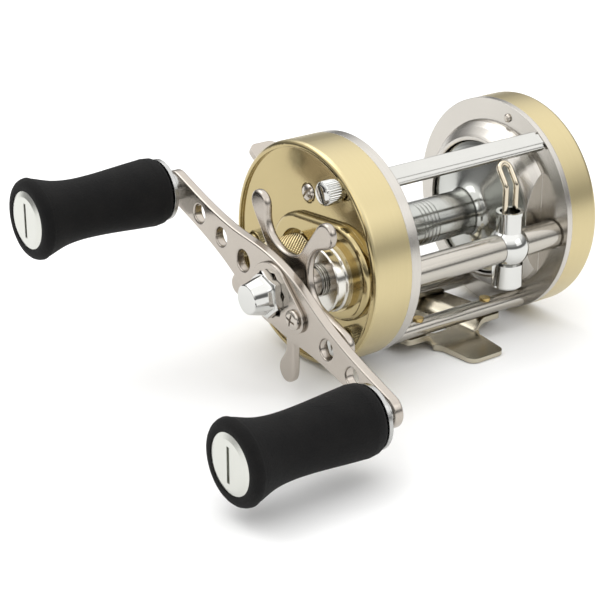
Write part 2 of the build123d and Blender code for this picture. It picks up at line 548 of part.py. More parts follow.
# ---------------------------------------------------------------- handle arm, nut and retainer
ARM_PROFILE = [(0.0, 8.0), (9.0, 7.15), (17.0, 5.4), (25.0, 4.35), (34.0, 3.95)]  # reach, half width
ARM_HOLES = [(12.6, 2.65), (22.2, 2.35), (31.9, 2.3), (-21.5, 2.45), (-31.4, 2.3)]
with BuildPart() as handle_arm:
    with BuildSketch(across(ARM_X[0], SHAFT, ARM_ANGLE)) as outline:
        with BuildLine():
            far = [(reach, half) for reach, half in ARM_PROFILE[1:]]
            upper = [(-reach, half) for reach, half in reversed(far)] + [ARM_PROFILE[0]] + far
            ends = [(-ARM_REACH, ARM_TIP_R), (ARM_REACH, ARM_TIP_R)]
            top = Spline(ends[0], *upper, ends[1], tangents=[(1, 0), (1, 0)])
            ThreePointArc((ARM_REACH, ARM_TIP_R), (ARM_REACH + ARM_TIP_R, 0), (ARM_REACH, -ARM_TIP_R))
            lower = [(reach, -half) for reach, half in upper]
            Spline((-ARM_REACH, -ARM_TIP_R), *lower, (ARM_REACH, -ARM_TIP_R), tangents=[(1, 0), (1, 0)])
            ThreePointArc((-ARM_REACH, ARM_TIP_R), (-ARM_REACH - ARM_TIP_R, 0), (-ARM_REACH, -ARM_TIP_R))
        make_face()
        for reach, hole_r in ARM_HOLES:
            with Locations((reach, 0)):
                Circle(hole_r, mode=Mode.SUBTRACT)
        for reach in (ARM_REACH, -ARM_REACH):
            with Locations((reach, 0)):
                Circle(2.0, mode=Mode.SUBTRACT)
    extrude(outline.sketch, amount=ARM_X[1] - ARM_X[0])
    with BuildSketch(across(ARM_X[0], SHAFT)) as bore:
        Circle(SHAFT_R)
        Rectangle(8, 2 * FLAT_HALF, mode=Mode.INTERSECT)
    extrude(bore.sketch, amount=ARM_X[1] - ARM_X[0], mode=Mode.SUBTRACT)
    retainer_spot = polar(10.0, ARM_ANGLE + 180, SHAFT)
    barrel(RETAINER_TAP_X, ARM_X[1], 1.2, retainer_spot, mode=Mode.SUBTRACT)
handle_arm.part.label = "handle_arm"
export_step(handle_arm.part, "parts/handle_arm.step")

NUT_FLATS = 10.0
with BuildPart() as nut_retainer:
    with BuildSketch(across(ARM_X[1], SHAFT, ARM_ANGLE)) as plate:
        Circle(7.5)
        with Locations((-10.0, 0)):
            Circle(3.4)
        make_hull()
        for turned in (0, 30):
            RegularPolygon(NUT_FLATS / 2 + 0.05, 6, major_radius=False, rotation=turned, mode=Mode.SUBTRACT)
    extrude(plate.sketch, amount=RETAINER_X - ARM_X[1])
    barrel(ARM_X[1], RETAINER_X, 1.2, retainer_spot, mode=Mode.SUBTRACT)
nut_retainer.part.label = "nut_retainer"
export_step(nut_retainer.part, "parts/nut_retainer.step")

with BuildPart() as retainer_screw:
    barrel(RETAINER_TAP_X, RETAINER_X, 1.2, retainer_spot)
    turn([
        (RETAINER_X, 0), (RETAINER_X, 2.4), (RETAINER_X + 0.7, 2.4), (RETAINER_X + 1.1, 1.9),
        (RETAINER_X + 1.2, 0),
    ], retainer_spot)
    for angle in (75, 165):
        slot_cut(across(RETAINER_X + 1.2, retainer_spot), 3.2, 0.6, 0.7, angle)
retainer_screw.part.label = "retainer_screw"
export_step(retainer_screw.part, "parts/retainer_screw.step")

with BuildPart() as handle_nut:
    with BuildSketch(across(NUT_X[0], SHAFT, ARM_ANGLE)) as hexagon:
        RegularPolygon(NUT_FLATS / 2, 6, major_radius=False)
    extrude(hexagon.sketch, amount=NUT_X[1] - NUT_X[0])
    turn([(NUT_X[1], 0), (NUT_X[1], 4.75), (NUT_X[1] + 0.5, 4.5), (NUT_X[2] - 0.2, 3.5),
          (NUT_X[2], 3.3), (NUT_X[2], 0)], SHAFT)
    barrel(NUT_X[0], NUT_THREAD[1], NUT_THREAD[0], SHAFT, mode=Mode.SUBTRACT)
handle_nut.part.label = "handle_nut"
export_step(handle_nut.part, "parts/handle_nut.step")

# ---------------------------------------------------------------- knobs
KNOB_ANGLES = {"a": ARM_ANGLE, "b": ARM_ANGLE + 180}
KNOB_OUTLINE = [(8.8, 0.0), (8.1, 0.2), (7.3, 0.57), (8.3, 0.82), (9.85, 0.97)]  # radius, share of the length
SPINDLE_R = 2.0
SPINDLE_END = 95.4
KNOB_CAP_X = 96.2
with BuildPart() as knob_spindles:
    for angle in KNOB_ANGLES.values():
        turn([
            (ARM_X[0] - 0.7, 0), (ARM_X[0] - 0.7, 2.3), (ARM_X[0] - 0.4, 2.9), (ARM_X[0], 2.9),
            (ARM_X[0], SPINDLE_R), (ARM_X[1], SPINDLE_R), (ARM_X[1], 3.4), (60.6, 3.4), (60.6, SPINDLE_R),
            (SPINDLE_END, SPINDLE_R), (SPINDLE_END, 0),
        ], polar(ARM_REACH, angle, SHAFT))
knob_spindles.part.label = "knob_spindles"
export_step(knob_spindles.part, "parts/knob_spindles.step")

for key, angle in KNOB_ANGLES.items():
    spot = polar(ARM_REACH, angle, SHAFT)
    start, end = KNOB_X
    with BuildPart() as knob_grip:
        with BuildSketch(beside(spot)) as waisted:
            with BuildLine():
                side = [(start + share * (end - start), radius) for radius, share in KNOB_OUTLINE]
                Spline(*side, tangents=[(1, -0.18), (1, 0.12)])
                Polyline(side[-1], (end, 9.2), (end, SPINDLE_R + FIT), (start, SPINDLE_R + FIT), side[0])
            make_face()
        revolve(waisted.sketch, axis=Axis(beside(spot).origin, (1, 0, 0)))
        barrel(KNOB_CAP_X, end, CAP_R, spot, mode=Mode.SUBTRACT)
    knob_grip.part.label = f"knob_grip_{key}"
    export_step(knob_grip.part, f"parts/knob_grip_{key}.step")

    with BuildPart() as knob_cap:
        turn([(KNOB_CAP_X, 0), (KNOB_CAP_X, CAP_R), (end - 0.3, CAP_R), (end + 0.3, 6.2), (end + 0.3, 5.0), (end, 5.0),
              (end, 0)], spot)
        slot_cut(across(end, spot), 1.0, 9.0, 0.8)
    knob_cap.part.label = f"knob_cap_{key}"
    export_step(knob_cap.part, f"parts/knob_cap_{key}.step")

    with BuildPart() as knob_washer:
        ring(start - 1.0, start, 7.6, SPINDLE_R + FIT, spot)
    knob_washer.part.label = f"knob_washer_{key}"
    export_step(knob_washer.part, f"parts/knob_washer_{key}.step")

# ---------------------------------------------------------------- palm-side cover
PALM_HUB = (5.4, 4.0, -29.4)  # outside radius, bearing seat radius, inner end of the hub
PALM_SCREWS = [polar(21.5, angle) for angle in (90, 210, 330)]
with BuildPart() as palm_side_cover:
    rim_start, face, crest = PALM_X
    turn([
        (rim_start, PLATE_R - COVER_WALL), (rim_start, PLATE_R), (crest, PLATE_R), (crest, 26.0),
        (face, 25.4), (face, 0), (face + 1.2, 0), (face + 1.2, PLATE_R - COVER_WALL),
    ])
    crest_edges = palm_side_cover.edges().filter_by(GeomType.CIRCLE).group_by(Axis.X)[0]
    fillet(crest_edges.sort_by(SortBy.RADIUS)[-1], 1.4)
    barrel(PALM_HUB[2], face + 1.2, PALM_HUB[0])
    barrel(PALM_HUB[2], face + 0.6, PALM_HUB[1], mode=Mode.SUBTRACT)
    barrel(PALM_HUB[2], face, 2.9, mode=Mode.SUBTRACT)
    for spot in PALM_SCREWS:
        barrel(face, -FRAME_HALF - PLATE_T, 2.0, spot)
        barrel(face, -FRAME_HALF - PLATE_T, 1.0, spot, mode=Mode.SUBTRACT)
        turn([(face, 0), (face, 2.1), (face + 1.1, 1.0), (face + 1.1, 0)], spot, mode=Mode.SUBTRACT)
palm_side_cover.part.label = "palm_side_cover"
export_step(palm_side_cover.part, "parts/palm_side_cover.step")

with BuildPart() as palm_cover_screws:
    for spot in PALM_SCREWS:
        turn([(face, 0), (face, 2.1), (face + 1.1, 1.0), (-FRAME_HALF - PLATE_T, 1.0),
              (-FRAME_HALF - PLATE_T, 0)], spot)
        slot_cut(Plane(origin=(face, spot[0], AXIS_H + spot[1]), x_dir=(0, 1, 0), z_dir=(-1, 0, 0)),
                 4.4, 0.6, 0.5, 20)
palm_cover_screws.part.label = "palm_cover_screws"
export_step(palm_cover_screws.part, "parts/palm_cover_screws.step")

with BuildPart() as palm_bearing_cap:
    turn([(face + 0.6, 0), (face + 0.6, 2.9), (face, 2.9), (face, 5.2), (face - 0.5, 5.0), (face - 0.5, 0)])
    slot_cut(Plane(origin=(face - 0.5, 0, AXIS_H), x_dir=(0, 1, 0), z_dir=(-1, 0, 0)), 7.5, 0.9, 0.5)
palm_bearing_cap.part.label = "palm_bearing_cap"
export_step(palm_bearing_cap.part, "parts/palm_bearing_cap.step")

DRUM = (10.6, 9.8)
with BuildPart() as brake_drum:
    ring(face + 1.2, -27.6, DRUM[0], DRUM[1])
    ring(face + 1.2, face + 1.6, DRUM[1], PALM_HUB[0])
brake_drum.part.label = "brake_drum"
export_step(brake_drum.part, "parts/brake_drum.step")

# ---------------------------------------------------------------- spool and what turns with it
BEARING_ENDS = [(-32.6, -29.9), (40.4, 43.1)]
BALLS = 8
with BuildPart() as spool_bearings:
    for start, end in BEARING_ENDS:
        ring(start, end, 4.0, 3.45)
        ring(start, end, 2.6, AXLE_R + FIT)
        for ball in range(BALLS):
            spot = polar(3.03, 360 / BALLS * ball)
            with Locations(((start + end) / 2, spot[0], AXIS_H + spot[1])):
                Sphere(0.62)
spool_bearings.part.label = "spool_bearings"
export_step(spool_bearings.part, "parts/spool_bearings.step")

ARBOR_HALF = 13.0
FLANGE_X = 21.0
GROOVES = 5
with BuildPart() as spool:
    with BuildSketch(beside()) as profile:
        with BuildLine():
            rim = FLANGE_X - FLANGE_T
            flare = Spline((ARBOR_HALF, ARBOR_R), (rim - 3.2, 8.7), (rim - 0.3, FLANGE_R - 0.9),
                           tangents=[(1, 0), (0.28, 1)])
            Polyline(flare @ 1, (rim, FLANGE_R), (FLANGE_X, FLANGE_R), (FLANGE_X, FLANGE_R - 1.2),
                     (FLANGE_X - 0.8, 12.0), (FLANGE_X - 2.2, 7.0), (FLANGE_X - 2.2, 4.0), (FLANGE_X, 4.0),
                     (FLANGE_X, AXLE_R), (0, AXLE_R), (0, ARBOR_R), (ARBOR_HALF, ARBOR_R))
        make_face()
        mirror(about=Plane.YZ)
    revolve(profile.sketch, axis=Axis(beside().origin, (1, 0, 0)))
    for groove in range(GROOVES):
        station = -1.4 + 1.2 * groove
        ring(station, station + 0.35, ARBOR_R + 1, ARBOR_R - 0.18, mode=Mode.SUBTRACT)
spool.part.label = "spool"
export_step(spool.part, "parts/spool.step")

PIN_X, PIN_R, PIN_HALF = 26.8, 0.6, 3.3
with BuildPart() as spool_shaft:
    barrel(-32.4, 45.05, AXLE_R)
    with BuildSketch(Plane(origin=(PIN_X, 0, AXIS_H - PIN_HALF))) as bore:
        Circle(PIN_R)
    extrude(bore.sketch, amount=2 * PIN_HALF, mode=Mode.SUBTRACT)
spool_shaft.part.label = "spool_shaft"
export_step(spool_shaft.part, "parts/spool_shaft.step")

with BuildPart() as clutch_pin:
    with BuildSketch(Plane(origin=(PIN_X, 0, AXIS_H - PIN_HALF))) as section:
        Circle(PIN_R)
    extrude(section.sketch, amount=2 * PIN_HALF)
clutch_pin.part.label = "clutch_pin"
export_step(clutch_pin.part, "parts/clutch_pin.step")

with BuildPart() as brake_carrier:
    ring(-27.4, -26.2, 4.6, AXLE_R)
    for end in (1, -1):
        with BuildSketch(across(-27.1)) as wire:
            with Locations((end * 6.4, 0)):
                Rectangle(4.4, 0.9)
        extrude(wire.sketch, amount=0.6)
brake_carrier.part.label = "brake_carrier"
export_step(brake_carrier.part, "parts/brake_carrier.step")

with BuildPart() as brake_blocks:
    for end in (1, -1):
        with BuildSketch(across(-28.4)) as block:
            with Locations((end * 7.6, 0)):
                RectangleRounded(2.2, 3.2, 0.4)
        extrude(block.sketch, amount=2.4)
        with BuildSketch(across(-27.1)) as wire:
            with Locations((end * 6.4, 0)):
                Rectangle(4.4, 0.9)
        extrude(wire.sketch, amount=0.6, mode=Mode.SUBTRACT)
brake_blocks.part.label = "brake_blocks"
export_step(brake_blocks.part, "parts/brake_blocks.step")

# ---------------------------------------------------------------- pinion and its yoke
PINION_X = (26.2, 27.5, 28.3, 29.2, 34.4)
with BuildPart() as pinion_gear:
    gear(PINION_X[3], PINION_X[4], PINION_TEETH, GEAR_MODULE, (0, 0),
         mesh_angle + 180 + 180 / PINION_TEETH)
    barrel(PINION_X[0], PINION_X[1] - 0.15, 3.7)
    barrel(PINION_X[1] - 0.15, PINION_X[2] + 0.15, 2.6)
    barrel(PINION_X[2] + 0.15, PINION_X[3], 3.7)
    barrel(PINION_X[0], PINION_X[4], AXLE_R + FIT, mode=Mode.SUBTRACT)
    with BuildSketch(across(PINION_X[0])) as slot:
        Rectangle(2 * (PIN_R + 0.1), 9)
    extrude(slot.sketch, amount=1.3, mode=Mode.SUBTRACT)
pinion_gear.part.label = "pinion_gear"
export_step(pinion_gear.part, "parts/pinion_gear.step")

with BuildPart() as clutch_yoke:
    with BuildSketch(across(YOKE_X[0])) as fork:
        RectangleRounded(7.4, 2 * GUIDE_PIN_Z + 5, 2.2)
        Circle(2.7, mode=Mode.SUBTRACT)
        with Locations((-2.4, 0)):
            Rectangle(5.0, 5.4, mode=Mode.SUBTRACT)
        for z in (GUIDE_PIN_Z, -GUIDE_PIN_Z):
            with Locations((0, z)):
                Circle(0.9 + FIT, mode=Mode.SUBTRACT)
    extrude(fork.sketch, amount=YOKE_X[1] - YOKE_X[0])
clutch_yoke.part.label = "clutch_yoke"
export_step(clutch_yoke.part, "parts/clutch_yoke.step")

SPRING_TURNS = 5
SPRING_X = (YOKE_X[1] + 0.3, COVER_INSIDE_X - 0.3)
with BuildPart() as yoke_springs:
    for z in (GUIDE_PIN_Z, -GUIDE_PIN_Z):
        length = SPRING_X[1] - SPRING_X[0]
        with BuildLine() as coil:
            Helix(pitch=length / SPRING_TURNS, height=length, radius=1.5,
                  center=(SPRING_X[0], 0, AXIS_H + z), direction=(1, 0, 0))
        with BuildSketch(Plane(origin=coil.line @ 0, z_dir=coil.line % 0)) as wire:
            Circle(0.25)
        sweep(wire.sketch, path=coil.line, is_frenet=True)
yoke_springs.part.label = "yoke_springs"
export_step(yoke_springs.part, "parts/yoke_springs.step")

# ---------------------------------------------------------------- free-spool lever
LEVER_T = 1.3
LEVER_REACH = 34.0
LEVER_STEM_X = (28.2, 32.4)
LEVER_TAB_X = (26.2, 34.6)
with BuildPart() as free_spool_lever:
    hub_start, hub_end = BRIDGE_X[1] + 0.05, BRIDGE_COLLAR[2] - 0.05
    ring(hub_start, hub_end, 7.4, BRIDGE_COLLAR[1] + FIT)
    with BuildSketch(across(hub_start, angle=LEVER_ANGLE)) as link:
        with Locations((16, 0)):
            Rectangle(18.6, 3.0)
    extrude(link.sketch, amount=hub_end - hub_start)
    with BuildSketch(across(hub_start, angle=LEVER_ANGLE)) as step_block:
        with Locations((24.6, 0)):
            Rectangle(1.6, LEVER_T)
    extrude(step_block.sketch, amount=LEVER_STEM_X[1] - hub_start)
    radial = (0, cos(radians(LEVER_ANGLE)), sin(radians(LEVER_ANGLE)))
    tangent = (0, -sin(radians(LEVER_ANGLE)), cos(radians(LEVER_ANGLE)))
    blade_plane = Plane(origin=(0, 0, AXIS_H), x_dir=(1, 0, 0), z_dir=tangent)
    with BuildSketch(blade_plane.offset(-LEVER_T / 2)) as blade:
        outward = 1 if blade_plane.y_dir.dot(Vector(*radial)) > 0 else -1
        stem_x = (LEVER_STEM_X[0] + LEVER_STEM_X[1]) / 2
        with Locations((stem_x, outward * 26.9)):
            Rectangle(LEVER_STEM_X[1] - LEVER_STEM_X[0], 5)
        tab_x = (LEVER_TAB_X[0] + LEVER_TAB_X[1]) / 2
        with Locations((tab_x, outward * (LEVER_REACH + 28.6) / 2)):
            RectangleRounded(LEVER_TAB_X[1] - LEVER_TAB_X[0], LEVER_REACH - 28.6, 2.2)
    extrude(blade.sketch, amount=LEVER_T)
free_spool_lever.part.label = "free_spool_lever"
export_step(free_spool_lever.part, "parts/free_spool_lever.step")

# ---------------------------------------------------------------- cast control
CAP_X = (38.4, 44.4, 46.0, 47.0)
CONTROL_CAP_R = 5.5
with BuildPart() as cast_control_cap:
    turn([
        (CAP_X[0], CONTROL_BOSS[0] + FIT), (CAP_X[0], CONTROL_CAP_R), (CAP_X[3] - 0.7, CONTROL_CAP_R),
        (CAP_X[3], CONTROL_CAP_R - 0.8), (CAP_X[3], 0), (CAP_X[2], 0), (CAP_X[2], 2.7), (CAP_X[1], 2.7),
        (CAP_X[1], CONTROL_BOSS[0] + FIT),
    ])
cast_control_cap.part.label = "cast_control_cap"
export_step(cast_control_cap.part, "parts/cast_control_cap.step")

with BuildPart() as cast_control_disc:
    barrel(45.15, CAP_X[2], 2.6)
cast_control_disc.part.label = "cast_control_disc"
export_step(cast_control_disc.part, "parts/cast_control_disc.step")

# ---------------------------------------------------------------- level wind
SLOT_HALF = 19.0
with BuildPart() as level_wind_tube:
    tube_end = FRAME_HALF + PLATE_T
    ring(-tube_end, tube_end, TUBE_R, TUBE_BORE, WORM)
    with BuildSketch(Plane((0, WORM[0], AXIS_H + WORM[1] - TUBE_R - 0.5))) as slot:
        SlotOverall(2 * SLOT_HALF, 2.8)
    extrude(slot.sketch, amount=2, mode=Mode.SUBTRACT)
level_wind_tube.part.label = "level_wind_tube"
export_step(level_wind_tube.part, "parts/level_wind_tube.step")

JOURNAL_R = 1.2
with BuildPart() as worm_bushings:
    for side in (1, -1):
        ring(side * 23.4, side * tube_end, TUBE_BORE, JOURNAL_R + FIT, WORM)
worm_bushings.part.label = "worm_bushings"
export_step(worm_bushings.part, "parts/worm_bushings.step")

WORM_R = 2.35
WORM_PITCH = 5.0
with BuildPart() as worm_shaft:
    barrel(-25.2, 29.6, JOURNAL_R, WORM)
    barrel(-23.2, 23.2, WORM_R, WORM)
    lead = degrees(asin(0.5 * WORM_PITCH / (pi * WORM_R)))
    for crossing in range(8):
        station = -17.5 + WORM_PITCH * crossing
        for hand in (1, -1):
            tilt = radians(hand * lead)
            disc_plane = Plane(origin=(station, WORM[0], AXIS_H + WORM[1]), x_dir=(0, 0, 1),
                               z_dir=(cos(tilt), sin(tilt), 0))
            with BuildSketch(disc_plane.offset(-0.45)) as thread:
                Circle(WORM_R + 1)
                Circle(WORM_R - 0.6, mode=Mode.SUBTRACT)
            extrude(thread.sketch, amount=0.9, mode=Mode.SUBTRACT)
worm_shaft.part.label = "worm_shaft"
export_step(worm_shaft.part, "parts/worm_shaft.step")

with BuildPart() as worm_cog:
    gear(*WORM_GEAR_X, WORM_COG_TEETH, WORM_MODULE, WORM, worm_angle + 180 + 180 / WORM_COG_TEETH)
    barrel(*WORM_GEAR_X, JOURNAL_R, WORM, mode=Mode.SUBTRACT)
worm_cog.part.label = "worm_cog"
export_step(worm_cog.part, "parts/worm_cog.step")

# ---------------------------------------------------------------- line guide carriage
BODY_R = 5.2
COLUMN_R = 3.25
CUP_R = 3.45
PAWL_CAP_R = 3.8
COLUMN_TOP, COLUMN_FOOT = 7.7, -12.2
PAWL_CAP_TOP = WORM[1] - 4.3
PAWL_R = 1.2
WIRE_R = 0.72
WIRE_GAP = 3.4
BEND_Z, BEND_TOP = 14.3, (19.4, 19.1)
carriage_origin = Plane((CARRIAGE_X, WORM[0], AXIS_H))
with BuildPart() as line_guide_carriage:
    with Locations((CARRIAGE_X, WORM[0], AXIS_H + WORM[1])):
        Sphere(BODY_R)
    with BuildSketch(carriage_origin.offset(WORM[1])) as column:
        Circle(COLUMN_R)
    extrude(column.sketch, amount=COLUMN_TOP - WORM[1])
    extrude(column.sketch, amount=-4.3)
    with BuildSketch(carriage_origin.offset(COLUMN_TOP - 0.8)) as cup:
        Circle(CUP_R)
    extrude(cup.sketch, amount=0.8)
    with BuildSketch(carriage_origin.offset(COLUMN_TOP - 3.5)) as pocket:
        Circle(COLUMN_R - 0.7)
        for leg in (1, -1):
            with Locations((leg * WIRE_GAP / 2, 0)):
                Circle(WIRE_R, mode=Mode.SUBTRACT)
    extrude(pocket.sketch, amount=3.5, mode=Mode.SUBTRACT)
    for leg in (1, -1):
        with BuildSketch(carriage_origin.offset(COLUMN_TOP - 3.5)) as socket:
            with Locations((leg * WIRE_GAP / 2, 0)):
                Circle(WIRE_R)
        extrude(socket.sketch, amount=3.5, mode=Mode.SUBTRACT)
    barrel(CARRIAGE_X - 8, CARRIAGE_X + 8, TUBE_R + 0.08, WORM, mode=Mode.SUBTRACT)
    with BuildSketch(carriage_origin.offset(PAWL_CAP_TOP - 3)) as below:
        Circle(BODY_R + 1)
    extrude(below.sketch, amount=3, mode=Mode.SUBTRACT)
    with BuildSketch(carriage_origin.offset(PAWL_CAP_TOP)) as pawl_bore:
        Circle(PAWL_R)
    extrude(pawl_bore.sketch, amount=3, mode=Mode.SUBTRACT)
line_guide_carriage.part.label = "line_guide_carriage"
export_step(line_guide_carriage.part, "parts/line_guide_carriage.step")

with BuildPart() as line_guide_wire:
    foot_z = AXIS_H + COLUMN_TOP - 3.5
    lean = Vector(0, BEND_TOP[0] - WORM[0], BEND_TOP[1] - BEND_Z).normalized()
    crown = Vector(CARRIAGE_X, BEND_TOP[0], AXIS_H + BEND_TOP[1])
    shoulder = crown - lean * (WIRE_GAP / 2)
    half = Vector(WIRE_GAP / 2, 0, 0)
    with BuildLine() as wire:
        left = FilletPolyline((CARRIAGE_X - WIRE_GAP / 2, WORM[0], foot_z),
                              (CARRIAGE_X - WIRE_GAP / 2, WORM[0], AXIS_H + BEND_Z), shoulder - half, radius=2.5)
        ThreePointArc(shoulder - half, crown, shoulder + half)
        FilletPolyline(shoulder + half, (CARRIAGE_X + WIRE_GAP / 2, WORM[0], AXIS_H + BEND_Z),
                       (CARRIAGE_X + WIRE_GAP / 2, WORM[0], foot_z), radius=2.5)
    with BuildSketch(Plane(origin=left @ 0, z_dir=(0, 0, 1))):
        Circle(WIRE_R)
    sweep(path=wire.line)
line_guide_wire.part.label = "line_guide_wire"
export_step(line_guide_wire.part, "parts/line_guide_wire.step")

with BuildPart() as pawl_cap:
    with BuildSketch(carriage_origin.offset(COLUMN_FOOT)) as barrel_end:
        Circle(PAWL_CAP_R)
    extrude(barrel_end.sketch, amount=PAWL_CAP_TOP - COLUMN_FOOT)
    chamfer(pawl_cap.edges().group_by(Axis.Z)[0], 0.5)
    with BuildSketch(carriage_origin.offset(COLUMN_FOOT)) as coin_slot:
        Rectangle(9, 0.9)
    extrude(coin_slot.sketch, amount=0.8, mode=Mode.SUBTRACT)
    with BuildSketch(carriage_origin.offset(COLUMN_FOOT + 2)) as pocket:
        Circle(PAWL_R)
    extrude(pocket.sketch, amount=PAWL_CAP_TOP - COLUMN_FOOT, mode=Mode.SUBTRACT)
pawl_cap.part.label = "pawl_cap"
export_step(pawl_cap.part, "parts/pawl_cap.step")

with BuildPart() as level_wind_pawl:
    with BuildSketch(carriage_origin.offset(COLUMN_FOOT + 2)) as stem:
        Circle(PAWL_R)
    extrude(stem.sketch, amount=WORM[1] - WORM_R - 0.12 - COLUMN_FOOT - 2)
level_wind_pawl.part.label = "level_wind_pawl"
export_step(level_wind_pawl.part, "parts/level_wind_pawl.step")
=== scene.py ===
"""Looks of the baitcasting reel: materials for the CAD nodes, and detailed pieces in place of the plain ones.

Lengths in this file are millimetres in the row frame, turned into metres where a mesh is made.
The spool and the handle turn about axes along X, so a turned shape is a list of (station along X, radius).
A centre or an axis is the (y, z) of such a line.
"""

from math import atan2, cos, floor, hypot, pi, radians, sin, sqrt

import bmesh
import bpy
from mathutils import Matrix, Vector


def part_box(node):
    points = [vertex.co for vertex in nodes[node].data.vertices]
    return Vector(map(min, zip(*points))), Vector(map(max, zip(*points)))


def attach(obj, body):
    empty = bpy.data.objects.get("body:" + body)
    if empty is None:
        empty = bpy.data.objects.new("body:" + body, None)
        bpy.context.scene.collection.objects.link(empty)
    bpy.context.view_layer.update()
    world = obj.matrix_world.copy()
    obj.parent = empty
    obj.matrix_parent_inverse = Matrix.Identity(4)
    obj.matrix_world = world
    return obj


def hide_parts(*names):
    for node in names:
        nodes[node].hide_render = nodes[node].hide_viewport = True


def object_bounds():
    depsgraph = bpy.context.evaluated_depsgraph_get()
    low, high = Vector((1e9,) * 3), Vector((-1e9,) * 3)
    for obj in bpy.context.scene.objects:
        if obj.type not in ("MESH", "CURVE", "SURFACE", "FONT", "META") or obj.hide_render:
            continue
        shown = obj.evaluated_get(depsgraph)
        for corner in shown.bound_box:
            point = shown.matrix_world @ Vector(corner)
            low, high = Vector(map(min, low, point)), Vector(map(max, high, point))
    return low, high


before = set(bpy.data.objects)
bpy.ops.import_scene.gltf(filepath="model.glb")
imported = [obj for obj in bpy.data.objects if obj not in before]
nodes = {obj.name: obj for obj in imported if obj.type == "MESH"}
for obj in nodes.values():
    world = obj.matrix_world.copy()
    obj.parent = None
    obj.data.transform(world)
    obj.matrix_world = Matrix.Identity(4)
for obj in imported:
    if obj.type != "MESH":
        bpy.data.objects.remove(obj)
cad_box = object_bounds()
scene = bpy.context.scene
MM = 0.001
ON_FACE = 0.002  # how far a point of a flat face may lie off its plane
WELD = 0.004  # points of a plate closer than this are one


# ---------------------------------------------------------------- reading the CAD
def extent(node):
    """Lowest and highest corner of a CAD node."""
    low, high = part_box(node)
    return low / MM, high / MM


def axis_of(node):
    """(y, z) of the line along X through the middle of a CAD node."""
    low, high = extent(node)
    return ((low.y + high.y) / 2, (low.z + high.z) / 2)


def points_of(node):
    """Vertices of a CAD node."""
    return [vertex.co / MM for vertex in nodes[node].data.vertices]


def from_axis(point, axis):
    """Distance of a point from a line along X."""
    return hypot(point.y - axis[0], point.z - axis[1])


def girth(loop):
    """Length of a closed outline."""
    return sum((one - two).length for one, two in zip(loop, loop[1:] + loop[:1]))


def face_outlines(node, station):
    """Closed outlines of a CAD node's flat face at a station along X, the longest first."""
    mesh = nodes[node].data
    spots = {}
    keys = []
    for vertex in mesh.vertices:
        co = vertex.co / MM
        key = tuple(round(value, 3) for value in co)
        spots[key] = co
        keys.append(key)
    uses = {}
    for polygon in mesh.polygons:
        corners = [keys[index] for index in polygon.vertices]
        if any(abs(corner[0] - station) > ON_FACE for corner in corners):
            continue
        for one, two in zip(corners, corners[1:] + corners[:1]):
            edge = frozenset((one, two))
            uses[edge] = uses.get(edge, 0) + 1
    following = {}
    for edge, count in uses.items():
        if count == 1 and len(edge) == 2:
            one, two = edge
            following.setdefault(one, []).append(two)
            following.setdefault(two, []).append(one)
    outlines = []
    while following:
        start = next(iter(following))
        loop = [start]
        while True:
            options = [key for key in following.get(loop[-1], []) if key not in loop[-2:]]
            if not options:
                break
            step = options[0]
            if step == start or len(loop) > len(spots):
                break
            loop.append(step)
        for key in loop:
            following.pop(key, None)
        if len(loop) > 2:
            outlines.append([spots[key] for key in loop])
    return sorted(outlines, key=girth, reverse=True)


def outer_profile(node, centre):
    """(station, largest radius) of a turned CAD node, from its own vertices."""
    widest = {}
    for point in points_of(node):
        station = round(point.x, 1)
        widest[station] = max(widest.get(station, 0), from_axis(point, centre))
    return sorted(widest.items())


# ---------------------------------------------------------------- node helpers
FINE_LINES = 5200.0  # noise per metre across the lines that turning and drawing leave
FINE_GRAIN = 7500.0  # noise per metre of a satin face
SLOW_TURN = 0.0004  # how little those lines change round the axis


def fresh(name):
    """New material: its node tree and its Principled shader."""
    material = bpy.data.materials.new(name)
    material.use_nodes = True
    tree = material.node_tree
    return material, tree, tree.nodes["Principled BSDF"]


def add(tree, kind, inputs=None, **settings):
    """Add a node, set its properties and its inputs; an input may be a number, a colour or a socket."""
    node = tree.nodes.new(kind)
    for key, value in settings.items():
        setattr(node, key, value)
    for key, value in (inputs or {}).items():
        socket = node.inputs[key]
        if isinstance(value, bpy.types.NodeSocket):
            tree.links.new(value, socket)
        else:
            socket.default_value = value
    return node


def blend_colours(tree, amount, one, two, kind="MIX"):
    """Colour between two colours or sockets."""
    mix = add(tree, "ShaderNodeMix", data_type="RGBA", blend_type=kind)
    for index, value in ((0, amount), (6, one), (7, two)):
        if isinstance(value, bpy.types.NodeSocket):
            tree.links.new(value, mix.inputs[index])
        else:
            mix.inputs[index].default_value = value
    return mix.outputs[2]


def spread(tree, value, low, high, from_low=0.3, from_high=0.7):
    """Map a noise value to a range."""
    return add(tree, "ShaderNodeMapRange",
               {"Value": value, "From Min": from_low, "From Max": from_high, "To Min": low, "To Max": high},
               clamp=True).outputs["Result"]


def noise(tree, vector, scale, detail=3.0, rough=0.55):
    """Noise value of so many swells per metre."""
    return add(tree, "ShaderNodeTexNoise",
               {"Vector": vector, "Scale": scale, "Detail": detail, "Roughness": rough}).outputs["Fac"]


def edge_mask(tree, reach):
    """1 on edges and corners, 0 on open surface, with the rounded normal that goes with it."""
    bevel = add(tree, "ShaderNodeBevel", {"Radius": reach}, samples=4)
    geometry = add(tree, "ShaderNodeNewGeometry")
    facing = add(tree, "ShaderNodeVectorMath", operation="DOT_PRODUCT")
    tree.links.new(bevel.outputs[0], facing.inputs[0])
    tree.links.new(geometry.outputs["Normal"], facing.inputs[1])
    return spread(tree, facing.outputs["Value"], 1.0, 0.0, 0.86, 0.995), bevel.outputs[0]


